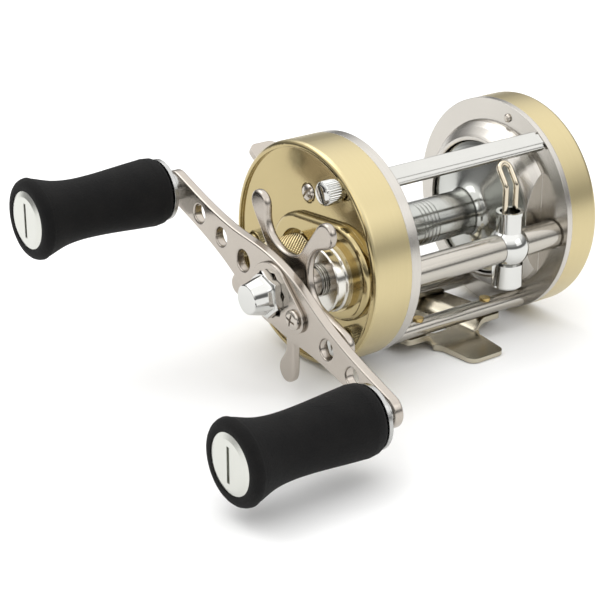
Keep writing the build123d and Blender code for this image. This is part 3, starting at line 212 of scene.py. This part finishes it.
def turned_marks(tree, coordinates, centre):
    """Vector that is the same all round an axis along X, for the fine rings a lathe leaves."""
    split = add(tree, "ShaderNodeSeparateXYZ", {"Vector": coordinates})
    across = []
    for output, offset in (("Y", centre[0]), ("Z", centre[1])):
        across.append(add(tree, "ShaderNodeMath", {0: split.outputs[output], 1: offset * MM},
                          operation="SUBTRACT").outputs[0])
    flat = add(tree, "ShaderNodeCombineXYZ", {"Y": across[0], "Z": across[1]})
    radius = add(tree, "ShaderNodeVectorMath", {0: flat.outputs[0]}, operation="LENGTH").outputs["Value"]
    angle = add(tree, "ShaderNodeMath", {0: across[0], 1: across[1]}, operation="ARCTAN2").outputs[0]
    slow = add(tree, "ShaderNodeMath", {0: angle, 1: SLOW_TURN}, operation="MULTIPLY").outputs[0]
    return add(tree, "ShaderNodeCombineXYZ", {"X": split.outputs["X"], "Y": radius, "Z": slow}).outputs[0]


def metal(name, colour, roughness, marks="satin", centre=None, depth=0.15, tint=0.06, streak=0.06,
          wear=0.35, anisotropy=0.0, edge=0.00022, patchy=0.18, side=None):
    """Metal with its working marks, uneven tint and roughness, and edges rubbed brighter.

    side is (radius in mm, colour, roughness) of the satin outside of a part turned about centre.
    """
    material, tree, shader = fresh(name)
    coordinates = add(tree, "ShaderNodeTexCoord").outputs["Object"]
    if marks == "turned":
        grain_vector = turned_marks(tree, coordinates, centre)
    elif marks == "drawn":
        along = add(tree, "ShaderNodeMapping", {"Vector": coordinates, "Scale": (0.02, 1.0, 1.0)})
        grain_vector = along.outputs[0]
    else:
        grain_vector = coordinates
    grain = noise(tree, grain_vector, FINE_GRAIN if marks == "satin" else FINE_LINES, 2.0)
    clouds = noise(tree, coordinates, 85.0, 4.0)
    smudges = noise(tree, coordinates, 240.0, 5.0, 0.65)
    mask, rounded_normal = edge_mask(tree, edge)
    darker = tuple(value * (1 - tint) for value in colour) + (1.0,)
    lighter = tuple(min(1.0, value * (1 + tint)) for value in colour) + (1.0,)
    worn = tuple(min(1.0, 0.7 * value + 0.2) for value in colour) + (1.0,)
    body = blend_colours(tree, spread(tree, clouds, 0.0, 1.0), darker, lighter)
    uneven = spread(tree, smudges, roughness * (1 - patchy), roughness * (1 + patchy))
    if side:
        radius, side_colour, side_roughness = side
        reach = add(tree, "ShaderNodeSeparateXYZ", {"Vector": grain_vector}).outputs["Y"]
        outside = spread(tree, reach, 0.0, 1.0, (radius - 0.1) * MM, radius * MM)
        body = blend_colours(tree, outside, body, side_colour + (1.0,))
        both = add(tree, "ShaderNodeMix", {0: outside, 2: uneven, 3: side_roughness}, data_type="FLOAT")
        uneven = both.outputs[0]
    marked = blend_colours(tree, spread(tree, grain, 0.0, streak * 2), body, darker, "MULTIPLY")
    rubbed = add(tree, "ShaderNodeMath", {0: mask, 1: spread(tree, smudges, wear * 0.4, wear)},
                 operation="MULTIPLY").outputs[0]
    tree.links.new(blend_colours(tree, rubbed, marked, worn), shader.inputs["Base Color"])
    fine = spread(tree, grain, -streak * 0.6, streak * 0.6)
    rough = add(tree, "ShaderNodeMath", {0: uneven, 1: fine}, operation="ADD", use_clamp=True).outputs[0]
    tree.links.new(rough, shader.inputs["Roughness"])
    bump = add(tree, "ShaderNodeBump", {"Strength": depth, "Distance": 0.00004, "Height": grain,
                                        "Normal": rounded_normal})
    tree.links.new(bump.outputs[0], shader.inputs["Normal"])
    shader.inputs["Metallic"].default_value = 1.0
    if anisotropy:
        shader.inputs["Anisotropic"].default_value = anisotropy
        tangent = add(tree, "ShaderNodeTangent", direction_type="RADIAL", axis="X")
        tree.links.new(tangent.outputs[0], shader.inputs["Tangent"])
    return material


def foam(name):
    """Closed-cell foam: near black, matte, finely pitted."""
    material, tree, shader = fresh(name)
    coordinates = add(tree, "ShaderNodeTexCoord").outputs["Object"]
    cells = add(tree, "ShaderNodeTexVoronoi", {"Vector": coordinates, "Scale": 2600.0}).outputs["Distance"]
    mottling = noise(tree, coordinates, 190.0, 5.0)
    speckle = noise(tree, coordinates, 3600.0, 3.0, 0.7)
    dark = (0.0035, 0.0035, 0.0037, 1.0)
    light = (0.0075, 0.0071, 0.0067, 1.0)
    shade = blend_colours(tree, spread(tree, mottling, 0.0, 0.75), dark, light)
    dust = (0.018, 0.017, 0.016, 1.0)
    dusty = blend_colours(tree, spread(tree, speckle, 0.0, 0.4, 0.55, 0.8), shade, dust)
    tree.links.new(dusty, shader.inputs["Base Color"])
    tree.links.new(spread(tree, speckle, 0.78, 0.95), shader.inputs["Roughness"])
    height = add(tree, "ShaderNodeMath", {0: cells, 1: speckle}, operation="ADD").outputs[0]
    bump = add(tree, "ShaderNodeBump", {"Strength": 0.55, "Distance": 0.00012, "Height": height})
    tree.links.new(bump.outputs[0], shader.inputs["Normal"])
    shader.inputs["Specular IOR Level"].default_value = 0.17
    shader.inputs["Sheen Weight"].default_value = 0.03
    shader.inputs["Sheen Roughness"].default_value = 0.5
    return material


def plastic(name, colour, roughness):
    """Moulded plastic or fibre, faintly textured."""
    material, tree, shader = fresh(name)
    coordinates = add(tree, "ShaderNodeTexCoord").outputs["Object"]
    clouds = noise(tree, coordinates, 150.0)
    grain = noise(tree, coordinates, 3000.0, 2.0)
    darker = tuple(value * 0.8 for value in colour) + (1.0,)
    lighter = tuple(value * 1.25 for value in colour) + (1.0,)
    body = blend_colours(tree, spread(tree, clouds, 0.0, 1.0), darker, lighter)
    tree.links.new(body, shader.inputs["Base Color"])
    tree.links.new(spread(tree, grain, roughness - 0.08, roughness + 0.08), shader.inputs["Roughness"])
    bump = add(tree, "ShaderNodeBump", {"Strength": 0.3, "Distance": 0.00003, "Height": grain})
    tree.links.new(bump.outputs[0], shader.inputs["Normal"])
    return material


SPOOL_AXIS = axis_of("spool_shaft")
SHAFT_AXIS = axis_of("main_gear")
SATIN_FROM = 27.75  # radius where the polished face of a gold cover ends and its satin rim begins

finishes = {
    "gold": metal("gold", (0.44, 0.36, 0.19), 0.13, "turned", SPOOL_AXIS, depth=0.04, tint=0.02, streak=0.02,
                  wear=0.25, patchy=0.1, side=(SATIN_FROM, (0.57, 0.485, 0.28), 0.33)),
    "gold_trim": metal("gold_trim", (0.56, 0.475, 0.29), 0.12, "turned", SHAFT_AXIS, depth=0.05, tint=0.03,
                       streak=0.03, edge=0.00006),
    "satin_nickel": metal("satin_nickel", (0.54, 0.515, 0.475), 0.23, "turned", SPOOL_AXIS, depth=0.07,
                          tint=0.015, streak=0.03, anisotropy=0.5, patchy=0.06),
    "handle_nickel": metal("handle_nickel", (0.44, 0.40, 0.355), 0.22, "satin", depth=0.06, tint=0.03,
                           streak=0.03, wear=0.9, patchy=0.1),
    "foot_steel": metal("foot_steel", (0.53, 0.485, 0.385), 0.24, "drawn", depth=0.05, tint=0.03, streak=0.03,
                        wear=0.8, patchy=0.06),
    "chrome": metal("chrome", (0.60, 0.60, 0.58), 0.07, "satin", depth=0.02, tint=0.02, streak=0.01, wear=0.3,
                    edge=0.00006),
    "silver_cap": metal("silver_cap", (0.60, 0.605, 0.565), 0.22, "turned", SHAFT_AXIS, depth=0.05, tint=0.02,
                        streak=0.03),
    "screw_nickel": metal("screw_nickel", (0.5, 0.46, 0.41), 0.17, "satin", depth=0.06, tint=0.04,
                          streak=0.03),
    "spool_aluminium": metal("spool_aluminium", (0.44, 0.445, 0.42), 0.17, "turned", SPOOL_AXIS, depth=0.07,
                             tint=0.02, streak=0.04, anisotropy=0.3),
    "brass": metal("brass", (0.56, 0.41, 0.17), 0.24, "turned", SHAFT_AXIS, depth=0.1),
    "steel": metal("steel", (0.45, 0.45, 0.44), 0.26, "drawn", depth=0.1),
    "guide_wire": metal("guide_wire", (0.60, 0.535, 0.42), 0.09, "satin", depth=0.03, tint=0.03, streak=0.02),
    "drag_fibre": plastic("drag_fibre", (0.03, 0.022, 0.016), 0.7),
    "brake_plastic": plastic("brake_plastic", (0.02, 0.02, 0.022), 0.45),
    "grip_foam": foam("grip_foam"),
}
# Painted light: a nickel brighter than the real metal, so the sleeve and spring washers that lie in shade
# behind the star look lighter.
shade_lifted_nickel = metal("shade_lifted_nickel", (0.66, 0.645, 0.60), 0.16, "turned", SHAFT_AXIS, depth=0.05, tint=0.03,
                     streak=0.03)
bar_nickel = metal("bar_nickel", (0.53, 0.525, 0.50), 0.1, "drawn", depth=0.03, tint=0.02, streak=0.02)
tube_nickel = metal("tube_nickel", (0.47, 0.445, 0.40), 0.2, "drawn", depth=0.06, tint=0.02, streak=0.03,
                    patchy=0.08)

for name, node in nodes.items():
    for slot in node.material_slots:
        slot.material = finishes[slot.material.name.split(".")[0]]
for material, alike in (
    (tube_nickel, ("level_wind_tube", "front_pillar", "rear_pillar")),
    # painted light: the sleeve and spring washers get the brightened nickel that lifts their shade
    (shade_lifted_nickel, ("shaft_sleeve", "drag_spring_washers")),
    (finishes["steel"], ("knob_washer_a", "knob_washer_b")),
    (bar_nickel, ("top_cross_bar",)),
):
    for name in alike:
        nodes[name].material_slots[0].material = material


# ---------------------------------------------------------------- mesh helpers
def piece(name, shape, body, finish, *replaced, sharp=34):
    """Turn a bmesh in millimetres into a piece that rides on a body and may stand for CAD nodes."""
    bmesh.ops.scale(shape, vec=(MM, MM, MM), verts=shape.verts)
    bmesh.ops.recalc_face_normals(shape, faces=shape.faces)
    mesh = bpy.data.meshes.new(name)
    shape.to_mesh(mesh)
    shape.free()
    made = bpy.data.objects.new(name, mesh)
    scene.collection.objects.link(made)
    mesh.materials.append(finishes[finish])
    mesh.shade_smooth()
    mesh.set_sharp_from_angle(angle=radians(sharp))
    even = made.modifiers.new("even_normals", "WEIGHTED_NORMAL")
    even.keep_sharp = True
    even.weight = 100
    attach(made, body)
    if replaced:
        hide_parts(*replaced)
    return made


def rounded(profile, radius, steps=4):
    """Profile with a small curve in place of each corner between its ends."""
    result = [profile[0]]
    for before, corner, after in zip(profile, profile[1:], profile[2:]):
        here = Vector(corner)
        back = Vector(before) - here
        ahead = Vector(after) - here
        reach = min(radius, back.length * 0.45, ahead.length * 0.45)
        one = here + back.normalized() * reach
        two = here + ahead.normalized() * reach
        for step in range(steps + 1):
            t = step / steps
            spot = one * (1 - t) ** 2 + here * 2 * t * (1 - t) + two * t ** 2
            result.append((spot.x, spot.y))
    result.append(profile[-1])
    return result


def turned(profile, centre, segments=96, shape=None):
    """Surface of a profile turned about the axis through centre; shape may change the radius at an angle."""
    made = bmesh.new()
    rings = []
    for station, radius in profile:
        if radius < 0.001:
            rings.append([made.verts.new((station, centre[0], centre[1]))])
            continue
        ring = []
        for index in range(segments):
            angle = 2 * pi * index / segments
            reach = shape(angle, station, radius) if shape else radius
            spot = (station, centre[0] + reach * cos(angle), centre[1] + reach * sin(angle))
            ring.append(made.verts.new(spot))
        rings.append(ring)
    pairs = list(zip(rings, rings[1:]))
    if len(rings[0]) > 1:
        pairs.append((rings[-1], rings[0]))
    for one, two in pairs:
        for index in range(segments):
            after = (index + 1) % segments
            if len(one) == 1 and len(two) > 1:
                made.faces.new((one[0], two[index], two[after]))
            elif len(two) == 1 and len(one) > 1:
                made.faces.new((one[index], two[0], one[after]))
            elif len(one) > 1:
                made.faces.new((one[index], two[index], two[after], one[after]))
    return made


def sheet_metal(outlines, low, high, bevel, steps=3):
    """Plate between two stations along X, from outlines with holes, with rounded edges."""
    curve = bpy.data.curves.new("outline", "CURVE")
    curve.dimensions = "2D"
    curve.fill_mode = "BOTH"
    curve.extrude = (high - low) / 2 - bevel
    curve.bevel_depth = bevel
    curve.bevel_resolution = steps
    curve.offset = -bevel
    for index, loop in enumerate(outlines):
        flat = [(point.y, point.z) for point in loop]
        area = sum(one[0] * two[1] - two[0] * one[1] for one, two in zip(flat, flat[1:] + flat[:1]))
        if (area > 0) == (index == 0):
            flat.reverse()
        spline = curve.splines.new("POLY")
        spline.points.add(len(flat) - 1)
        for point, (y, z) in zip(spline.points, flat):
            point.co = (y, z, 0.0, 1.0)
        spline.use_cyclic_u = True
    holder = bpy.data.objects.new("outline", curve)
    scene.collection.objects.link(holder)
    mesh = bpy.data.meshes.new_from_object(holder)
    bpy.data.objects.remove(holder)
    made = bmesh.new()
    made.from_mesh(mesh)
    bpy.data.meshes.remove(mesh)
    bmesh.ops.remove_doubles(made, verts=made.verts, dist=WELD)
    middle = (low + high) / 2
    for vertex in made.verts:
        y, z, depth = vertex.co
        vertex.co = (middle + depth, y, z)
    return made


def joined(*shapes):
    """Several bmeshes as one."""
    whole = shapes[0]
    for other in shapes[1:]:
        mesh = bpy.data.meshes.new("part")
        other.to_mesh(mesh)
        other.free()
        whole.from_mesh(mesh)
        bpy.data.meshes.remove(mesh)
    return whole


def block(size, place, angle=0.0):
    """Box of a size at a place, turned by angle about X from +Y towards +Z."""
    made = bmesh.new()
    bmesh.ops.create_cube(made, size=1.0)
    turn = Matrix.Rotation(radians(angle), 4, "X")
    matrix = Matrix.Translation(place) @ turn @ Matrix.Diagonal((*size, 1.0))
    bmesh.ops.transform(made, matrix=matrix, verts=made.verts)
    return made


def carved(shape, *cutters):
    """Shape with cutters taken away."""
    holders = []
    for part in (shape, *cutters):
        mesh = bpy.data.meshes.new("carving")
        bmesh.ops.recalc_face_normals(part, faces=part.faces)
        part.to_mesh(mesh)
        part.free()
        holder = bpy.data.objects.new("carving", mesh)
        scene.collection.objects.link(holder)
        holders.append(holder)
    for cutter in holders[1:]:
        cut = holders[0].modifiers.new("cut", "BOOLEAN")
        cut.operation = "DIFFERENCE"
        cut.solver = "EXACT"
        cut.object = cutter
    bpy.context.view_layer.update()
    evaluated = holders[0].evaluated_get(bpy.context.evaluated_depsgraph_get())
    result = bpy.data.meshes.new_from_object(evaluated)
    made = bmesh.new()
    made.from_mesh(result)
    bpy.data.meshes.remove(result)
    for holder in holders:
        bpy.data.objects.remove(holder)
    return made


def ripple(value):
    """Triangle wave of period 1 between 0 and 1."""
    part = value - floor(value)
    return 1 - abs(2 * part - 1)


# ---------------------------------------------------------------- handle arm, star drag, nut retainer
ARM_EDGE = 0.45  # radius of the rounded edges of each plate
STAR_EDGE = 0.8
RETAINER_EDGE = 0.22
STAR_BLADE_T = 2.2
HUB_OVERLAP = 0.3  # how far the star's hub reaches into its blades


def rounded_plate(name, node, body, edge):
    """A flat CAD node remade with rounded edges."""
    low, high = extent(node)
    outlines = face_outlines(node, round(high.x, 3))
    piece(name, sheet_metal(outlines, low.x, high.x, edge), body, "handle_nickel", node)


rounded_plate("handle_arm_plate", "handle_arm", "crank", ARM_EDGE)

low, high = extent("star_drag")
blade_back = high.x - STAR_BLADE_T
hub_front = blade_back + HUB_OVERLAP
star_bore = min(from_axis(point, SHAFT_AXIS) for point in points_of("star_drag"))
hub_r = max(from_axis(point, SHAFT_AXIS) for point in points_of("star_drag") if point.x < low.x + 0.1)
hub_profile = [(low.x, star_bore), (low.x, hub_r), (hub_front, hub_r), (hub_front, star_bore)]
star_blades = sheet_metal(face_outlines("star_drag", round(high.x, 3)), blade_back, high.x, STAR_EDGE, 5)
star_hub = turned(rounded(hub_profile, 0.15), SHAFT_AXIS)
piece("star_drag_wheel", joined(star_blades, star_hub), "star", "handle_nickel", "star_drag")

rounded_plate("nut_retainer_plate", "nut_retainer", "crank", RETAINER_EDGE)

# ---------------------------------------------------------------- handle nut
NUT_BORE = 2.4
NUT_BORE_DEPTH = 1.0
HEX_HEIGHT = 2.8
HEX_CHAMFER = 1.7  # how fast the ends of the hexagon close in along X
PAST_CORNERS = 9.0  # a radius outside the hexagon, which nut_shape brings back to its flats

low, high = extent("handle_nut")
nut_back, nut_front = low.x, high.x
hex_front = nut_back + HEX_HEIGHT
corner = max((point for point in points_of("handle_nut") if point.x < nut_back + 0.1),
             key=lambda point: from_axis(point, SHAFT_AXIS))
corner_angle = atan2(corner.z - SHAFT_AXIS[1], corner.y - SHAFT_AXIS[0])
nut_half = from_axis(corner, SHAFT_AXIS) * cos(pi / 6)


def six_sided(angle, half):
    """Radius of a hexagon at an angle, from half its width across the flats."""
    part = (angle - corner_angle) % (pi / 3) - pi / 6
    return half / cos(part)


def nut_shape(angle, station, radius):
    """Chamfered hexagon at the back, then a faceted crown that turns rounder towards its tip."""
    if station <= hex_front:
        front_chamfer = nut_half + 0.05 + HEX_CHAMFER * (hex_front - station)
        back_chamfer = nut_half + 0.5 + HEX_CHAMFER * (station - nut_back)
        return min(six_sided(angle, nut_half), front_chamfer, back_chamfer, radius)
    share = (station - hex_front) / (nut_front - hex_front)
    return min(radius, six_sided(angle, radius * (0.9 + 0.1 * share)))


nut_rows = [(nut_back, NUT_BORE), (nut_back, PAST_CORNERS)]
nut_rows += [(nut_back + 0.1 * step, PAST_CORNERS) for step in (1, 2, 4, 14, 20, *range(22, 29))]
nut_rows += rounded([(hex_front, 4.9), (hex_front + 0.02, 4.72), (hex_front + 1.2, 4.5),
                     (nut_front - 0.25, 3.6), (nut_front, 3.35), (nut_front, 0.0)], 0.14, 3)
nut_rows += [(nut_back + NUT_BORE_DEPTH, 0.0), (nut_back + NUT_BORE_DEPTH, NUT_BORE)]
piece("handle_nut_turned", turned(nut_rows, SHAFT_AXIS, 144, nut_shape), "crank", "chrome", "handle_nut",
      sharp=24)


# ---------------------------------------------------------------- screws
def slotted_screw(name, node, body, shank_r, head, edge, slot_size, slot_angles):
    """Screw with a domed head, whose rows are (depth below the top, radius), and slots across it."""
    low, high = extent(node)
    spot = axis_of(node)
    profile = [(low.x, 0.0), (low.x, shank_r), (high.x - head[0][0], shank_r)]
    profile += [(high.x - depth, radius) for depth, radius in head]
    slots = [block(slot_size, (high.x, *spot), angle) for angle in slot_angles]
    made = carved(turned(rounded(profile, edge), spot, 64), *slots)
    piece(name, made, body, "screw_nickel", node, sharp=28)


slotted_screw("retainer_screw_turned", "retainer_screw", "crank", 1.2,
              [(1.2, 2.4), (0.55, 2.4), (0.12, 1.7), (0.0, 0.9), (0.0, 0.0)],
              0.25, (1.4, 3.1, 0.55), (75, 165))

THUMB_SCREWS = [(23.9, 56.5), (22.8, 190.0), (23.4, 312.0)]  # radius and angle about the spool axis
THUMB_HEAD = 5.2
THUMB_GROOVES = 30
THUMB_GROOVE_DEPTH = 0.3

low, high = extent("cover_thumb_screws")
thumb_seat, thumb_top = high.x - THUMB_HEAD, high.x


def ridged(angle, station, radius):
    """Straight knurl round the widest part of the head."""
    if radius <= 2.6 or not thumb_seat + 1.1 < station < thumb_top - 0.5:
        return radius
    return radius - THUMB_GROOVE_DEPTH * (1 - sqrt(ripple(THUMB_GROOVES * angle / (2 * pi))))


rows = [(low.x, 0.0), (low.x, 1.2), (thumb_seat, 1.2), (thumb_seat, 2.2), (thumb_seat + 0.5, 2.25),
        (thumb_seat + 0.8, 2.75), (thumb_seat + 1.1, 2.8), (thumb_seat + 1.15, 3.0), (thumb_top - 0.75, 3.0),
        (thumb_top - 0.55, 2.95), (thumb_top - 0.45, 2.75), (thumb_top - 0.1, 2.35), (thumb_top, 2.1),
        (thumb_top, 0.0)]
for index, (radius, angle) in enumerate(THUMB_SCREWS):
    spot = (SPOOL_AXIS[0] + radius * cos(radians(angle)), SPOOL_AXIS[1] + radius * sin(radians(angle)))
    slot = block((1.9, 7.0, 0.75), (thumb_top, *spot), 115)
    piece(f"thumb_screw_{index}", carved(turned(rows, spot, 240, ridged), slot), "frame", "chrome",
          "cover_thumb_screws", sharp=40)

slotted_screw("cover_slot_screw_turned", "cover_slot_screw", "frame", 0.9,
              [(1.5, 2.3), (0.9, 2.3), (0.35, 1.8), (0.0, 0.8), (0.0, 0.0)],
              0.3, (1.6, 6.0, 0.6), (50,))

# ---------------------------------------------------------------- cast control cap
KNURL_STARTS = 44
KNURL_PITCH = 0.92
KNURL_DEPTH = 0.3
KNURL_STEP = 0.12  # distance between two rings of the mesh

low, high = extent("cast_control_cap")
cap_back, cap_front = low.x, high.x
control_r = (high.y - low.y) / 2
control_bore = min(from_axis(point, SPOOL_AXIS) for point in points_of("cast_control_cap")
                   if point.x < cap_back + 0.1)
knurl_start = cap_back + 0.6
knurl_length = cap_front - cap_back - 1.6


def diamonds(angle, station, radius):
    """Diamond knurl: two crossing sets of helical grooves."""
    if radius < control_r - 0.3 or not knurl_start < station < cap_front - 1.0:
        return radius
    turns = KNURL_STARTS * angle / (2 * pi)
    along = (station - cap_back) / KNURL_PITCH
    return radius - KNURL_DEPTH * (1 - ripple(turns + along) * ripple(turns - along)) ** 2


steps = int(knurl_length / KNURL_STEP)
rows = [(cap_back, control_bore), (cap_back, control_r - 0.25), (cap_back + 0.25, control_r)]
rows += [(knurl_start + step * knurl_length / steps, control_r) for step in range(steps + 1)]
rows += [(cap_front - 0.7, control_r - 0.03), (cap_front - 0.45, control_r - 0.2),
         (cap_front - 0.1, control_r - 0.75), (cap_front, control_r - 1.1), (cap_front, 2.2),
         (cap_front - 0.35, 1.6), (cap_front - 0.4, 0.0), (cap_front - 1.0, 0.0), (cap_front - 1.0, 2.7),
         (cap_front - 2.6, 2.7), (cap_front - 2.6, control_bore)]
piece("cast_control_cap_knurled", turned(rows, SPOOL_AXIS, 352, diamonds), "cast_control", "gold_trim",
      "cast_control_cap", sharp=50)

# ---------------------------------------------------------------- knob grips and their end caps
GRIP_BORE = 2.05
FOAM_FROM = 6.0  # smallest radius of the outside of the foam


def shrunk_foam(angle, station, radius):
    """Slightly uneven radius of the foam."""
    if radius < FOAM_FROM:
        return radius
    return radius - 0.03 + 0.02 * sin(3 * angle + station / 7) + 0.01 * sin(7 * angle - station / 3)


for key in ("a", "b"):
    node = f"knob_grip_{key}"
    spot = axis_of(node)
    profile = outer_profile(node, spot)
    start, end = profile[0][0], profile[-1][0]
    waist = [row for row in profile if start + 2.4 < row[0] < end - 2.6]
    root_r, rim_r = waist[0][1], waist[-1][1] + 0.2
    cap_low, cap_high = extent(f"knob_cap_{key}")
    cap_r = (cap_high.y - cap_low.y) / 2 + 0.02
    rows = [(start, GRIP_BORE), (start, root_r - 2.2), (start + 0.15, root_r - 1.5),
            (start + 0.6, root_r - 0.75), (start + 1.4, root_r - 0.2)]
    rows += waist
    rows += [(end - 2.1, rim_r + 0.08), (end - 1.5, rim_r), (end - 0.9, rim_r - 0.25),
             (end - 0.45, rim_r - 0.65), (end - 0.12, rim_r - 1.3), (end, rim_r - 2.0),
             (end - 0.1, cap_r), (cap_low.x, cap_r), (cap_low.x, GRIP_BORE)]
    grip = piece(f"foam_grip_{key}", turned(rows, spot, 128, shrunk_foam), f"knob_{key}", "grip_foam", node,
                 sharp=75)
    face = cap_high.x - 0.05
    rows = rounded([(cap_low.x, 0.0), (cap_low.x, cap_r - 0.02), (end - 0.3, cap_r - 0.02),
                    (face, cap_r - 1.5), (face, 0.0)], 0.12)
    slot = block((2.4, 1.0, 8.4), (face, *spot))
    piece(f"knob_cap_bevelled_{key}", carved(turned(rows, spot, 96), slot), f"knob_{key}", "silver_cap",
          f"knob_cap_{key}", sharp=20)

# ---------------------------------------------------------------- room, light and camera
# (share of the way from straight down to straight up, grey)
SKY = [(0.0, 0.3), (0.5, 0.34), (0.56, 0.1), (0.67, 0.28), (0.78, 0.78), (0.88, 1.0), (1.0, 1.0)]
SKY_STRENGTH = 1.6
FLOOR_GAP = 0.0002  # metres between the floor and the underside of the foot


def room_material(name, colour, roughness):
    """Matt paper, very slightly uneven."""
    material, tree, shader = fresh(name)
    coordinates = add(tree, "ShaderNodeTexCoord").outputs["Object"]
    clouds = noise(tree, coordinates, 3.0)
    darker = tuple(value * 0.985 for value in colour) + (1.0,)
    tree.links.new(blend_colours(tree, clouds, darker, colour + (1.0,)), shader.inputs["Base Color"])
    shader.inputs["Roughness"].default_value = roughness
    shader.inputs["Specular IOR Level"].default_value = 0.1
    return material


ground = bmesh.new()
bmesh.ops.create_grid(ground, x_segments=8, y_segments=8, size=4.0)
floor_mesh = bpy.data.meshes.new("floor")
ground.to_mesh(floor_mesh)
ground.free()
floor_piece = bpy.data.objects.new("floor", floor_mesh)
scene.collection.objects.link(floor_piece)
floor_piece.location = (0.0, 0.0, cad_box[0].z - FLOOR_GAP)
floor_mesh.materials.append(room_material("floor_paper", (0.9, 0.9, 0.895), 0.9))


def softbox(name, place, target, size, energy, colour=(1.0, 1.0, 1.0)):
    """Area light of a size in metres that faces a target."""
    light = bpy.data.lights.new(name, "AREA")
    light.shape = "RECTANGLE"
    light.size, light.size_y = size
    light.energy = energy
    light.color = colour
    holder = bpy.data.objects.new(name, light)
    holder.location = place
    holder.rotation_mode = "QUATERNION"
    holder.rotation_quaternion = (Vector(place) - Vector(target)).to_track_quat("Z", "Y")
    scene.collection.objects.link(holder)


middle = (cad_box[0] + cad_box[1]) / 2
softbox("key", (0.15, -0.35, 0.75), middle, (0.7, 0.5), 1.7)
softbox("fill", (0.85, 0.25, 0.45), middle, (0.5, 0.6), 0.9, (1.0, 0.985, 0.96))
softbox("front", (-0.35, 0.8, 0.5), middle, (0.6, 0.5), 0.9)

world = bpy.data.worlds.new("studio")
scene.world = world
world.use_nodes = True
sky = world.node_tree
direction = add(sky, "ShaderNodeTexCoord").outputs["Generated"]
height = add(sky, "ShaderNodeSeparateXYZ", {"Vector": direction}).outputs["Z"]
share_up = add(sky, "ShaderNodeMapRange", {"Value": height, "From Min": -1.0}).outputs[0]
ramp = add(sky, "ShaderNodeValToRGB", {"Fac": share_up})
bands = ramp.color_ramp
bands.interpolation = "EASE"
for position, grey in SKY:
    if position == 0.0:
        stop = bands.elements[0]
    elif position == 1.0:
        stop = bands.elements[-1]
    else:
        stop = bands.elements.new(position)
    stop.color = (grey, grey, grey, 1.0)
background = sky.nodes["Background"]
sky.links.new(ramp.outputs["Color"], background.inputs["Color"])
background.inputs["Strength"].default_value = SKY_STRENGTH

camera = bpy.data.cameras.new("camera")
camera.sensor_width = 36.0
camera.lens = 106.76
camera.clip_start = 0.01
camera.clip_end = 50.0
eye = bpy.data.objects.new("camera", camera)
scene.collection.objects.link(eye)
eye.matrix_world = Matrix((
    (-0.8014, -0.2294, 0.5525, 0.2797),
    (0.5982, -0.3073, 0.7401, 0.3228),
    (0.0, 0.9236, 0.3835, 0.1839),
    (0.0, 0.0, 0.0, 1.0),
))
scene.camera = eye
scene.view_settings.view_transform = "Standard"
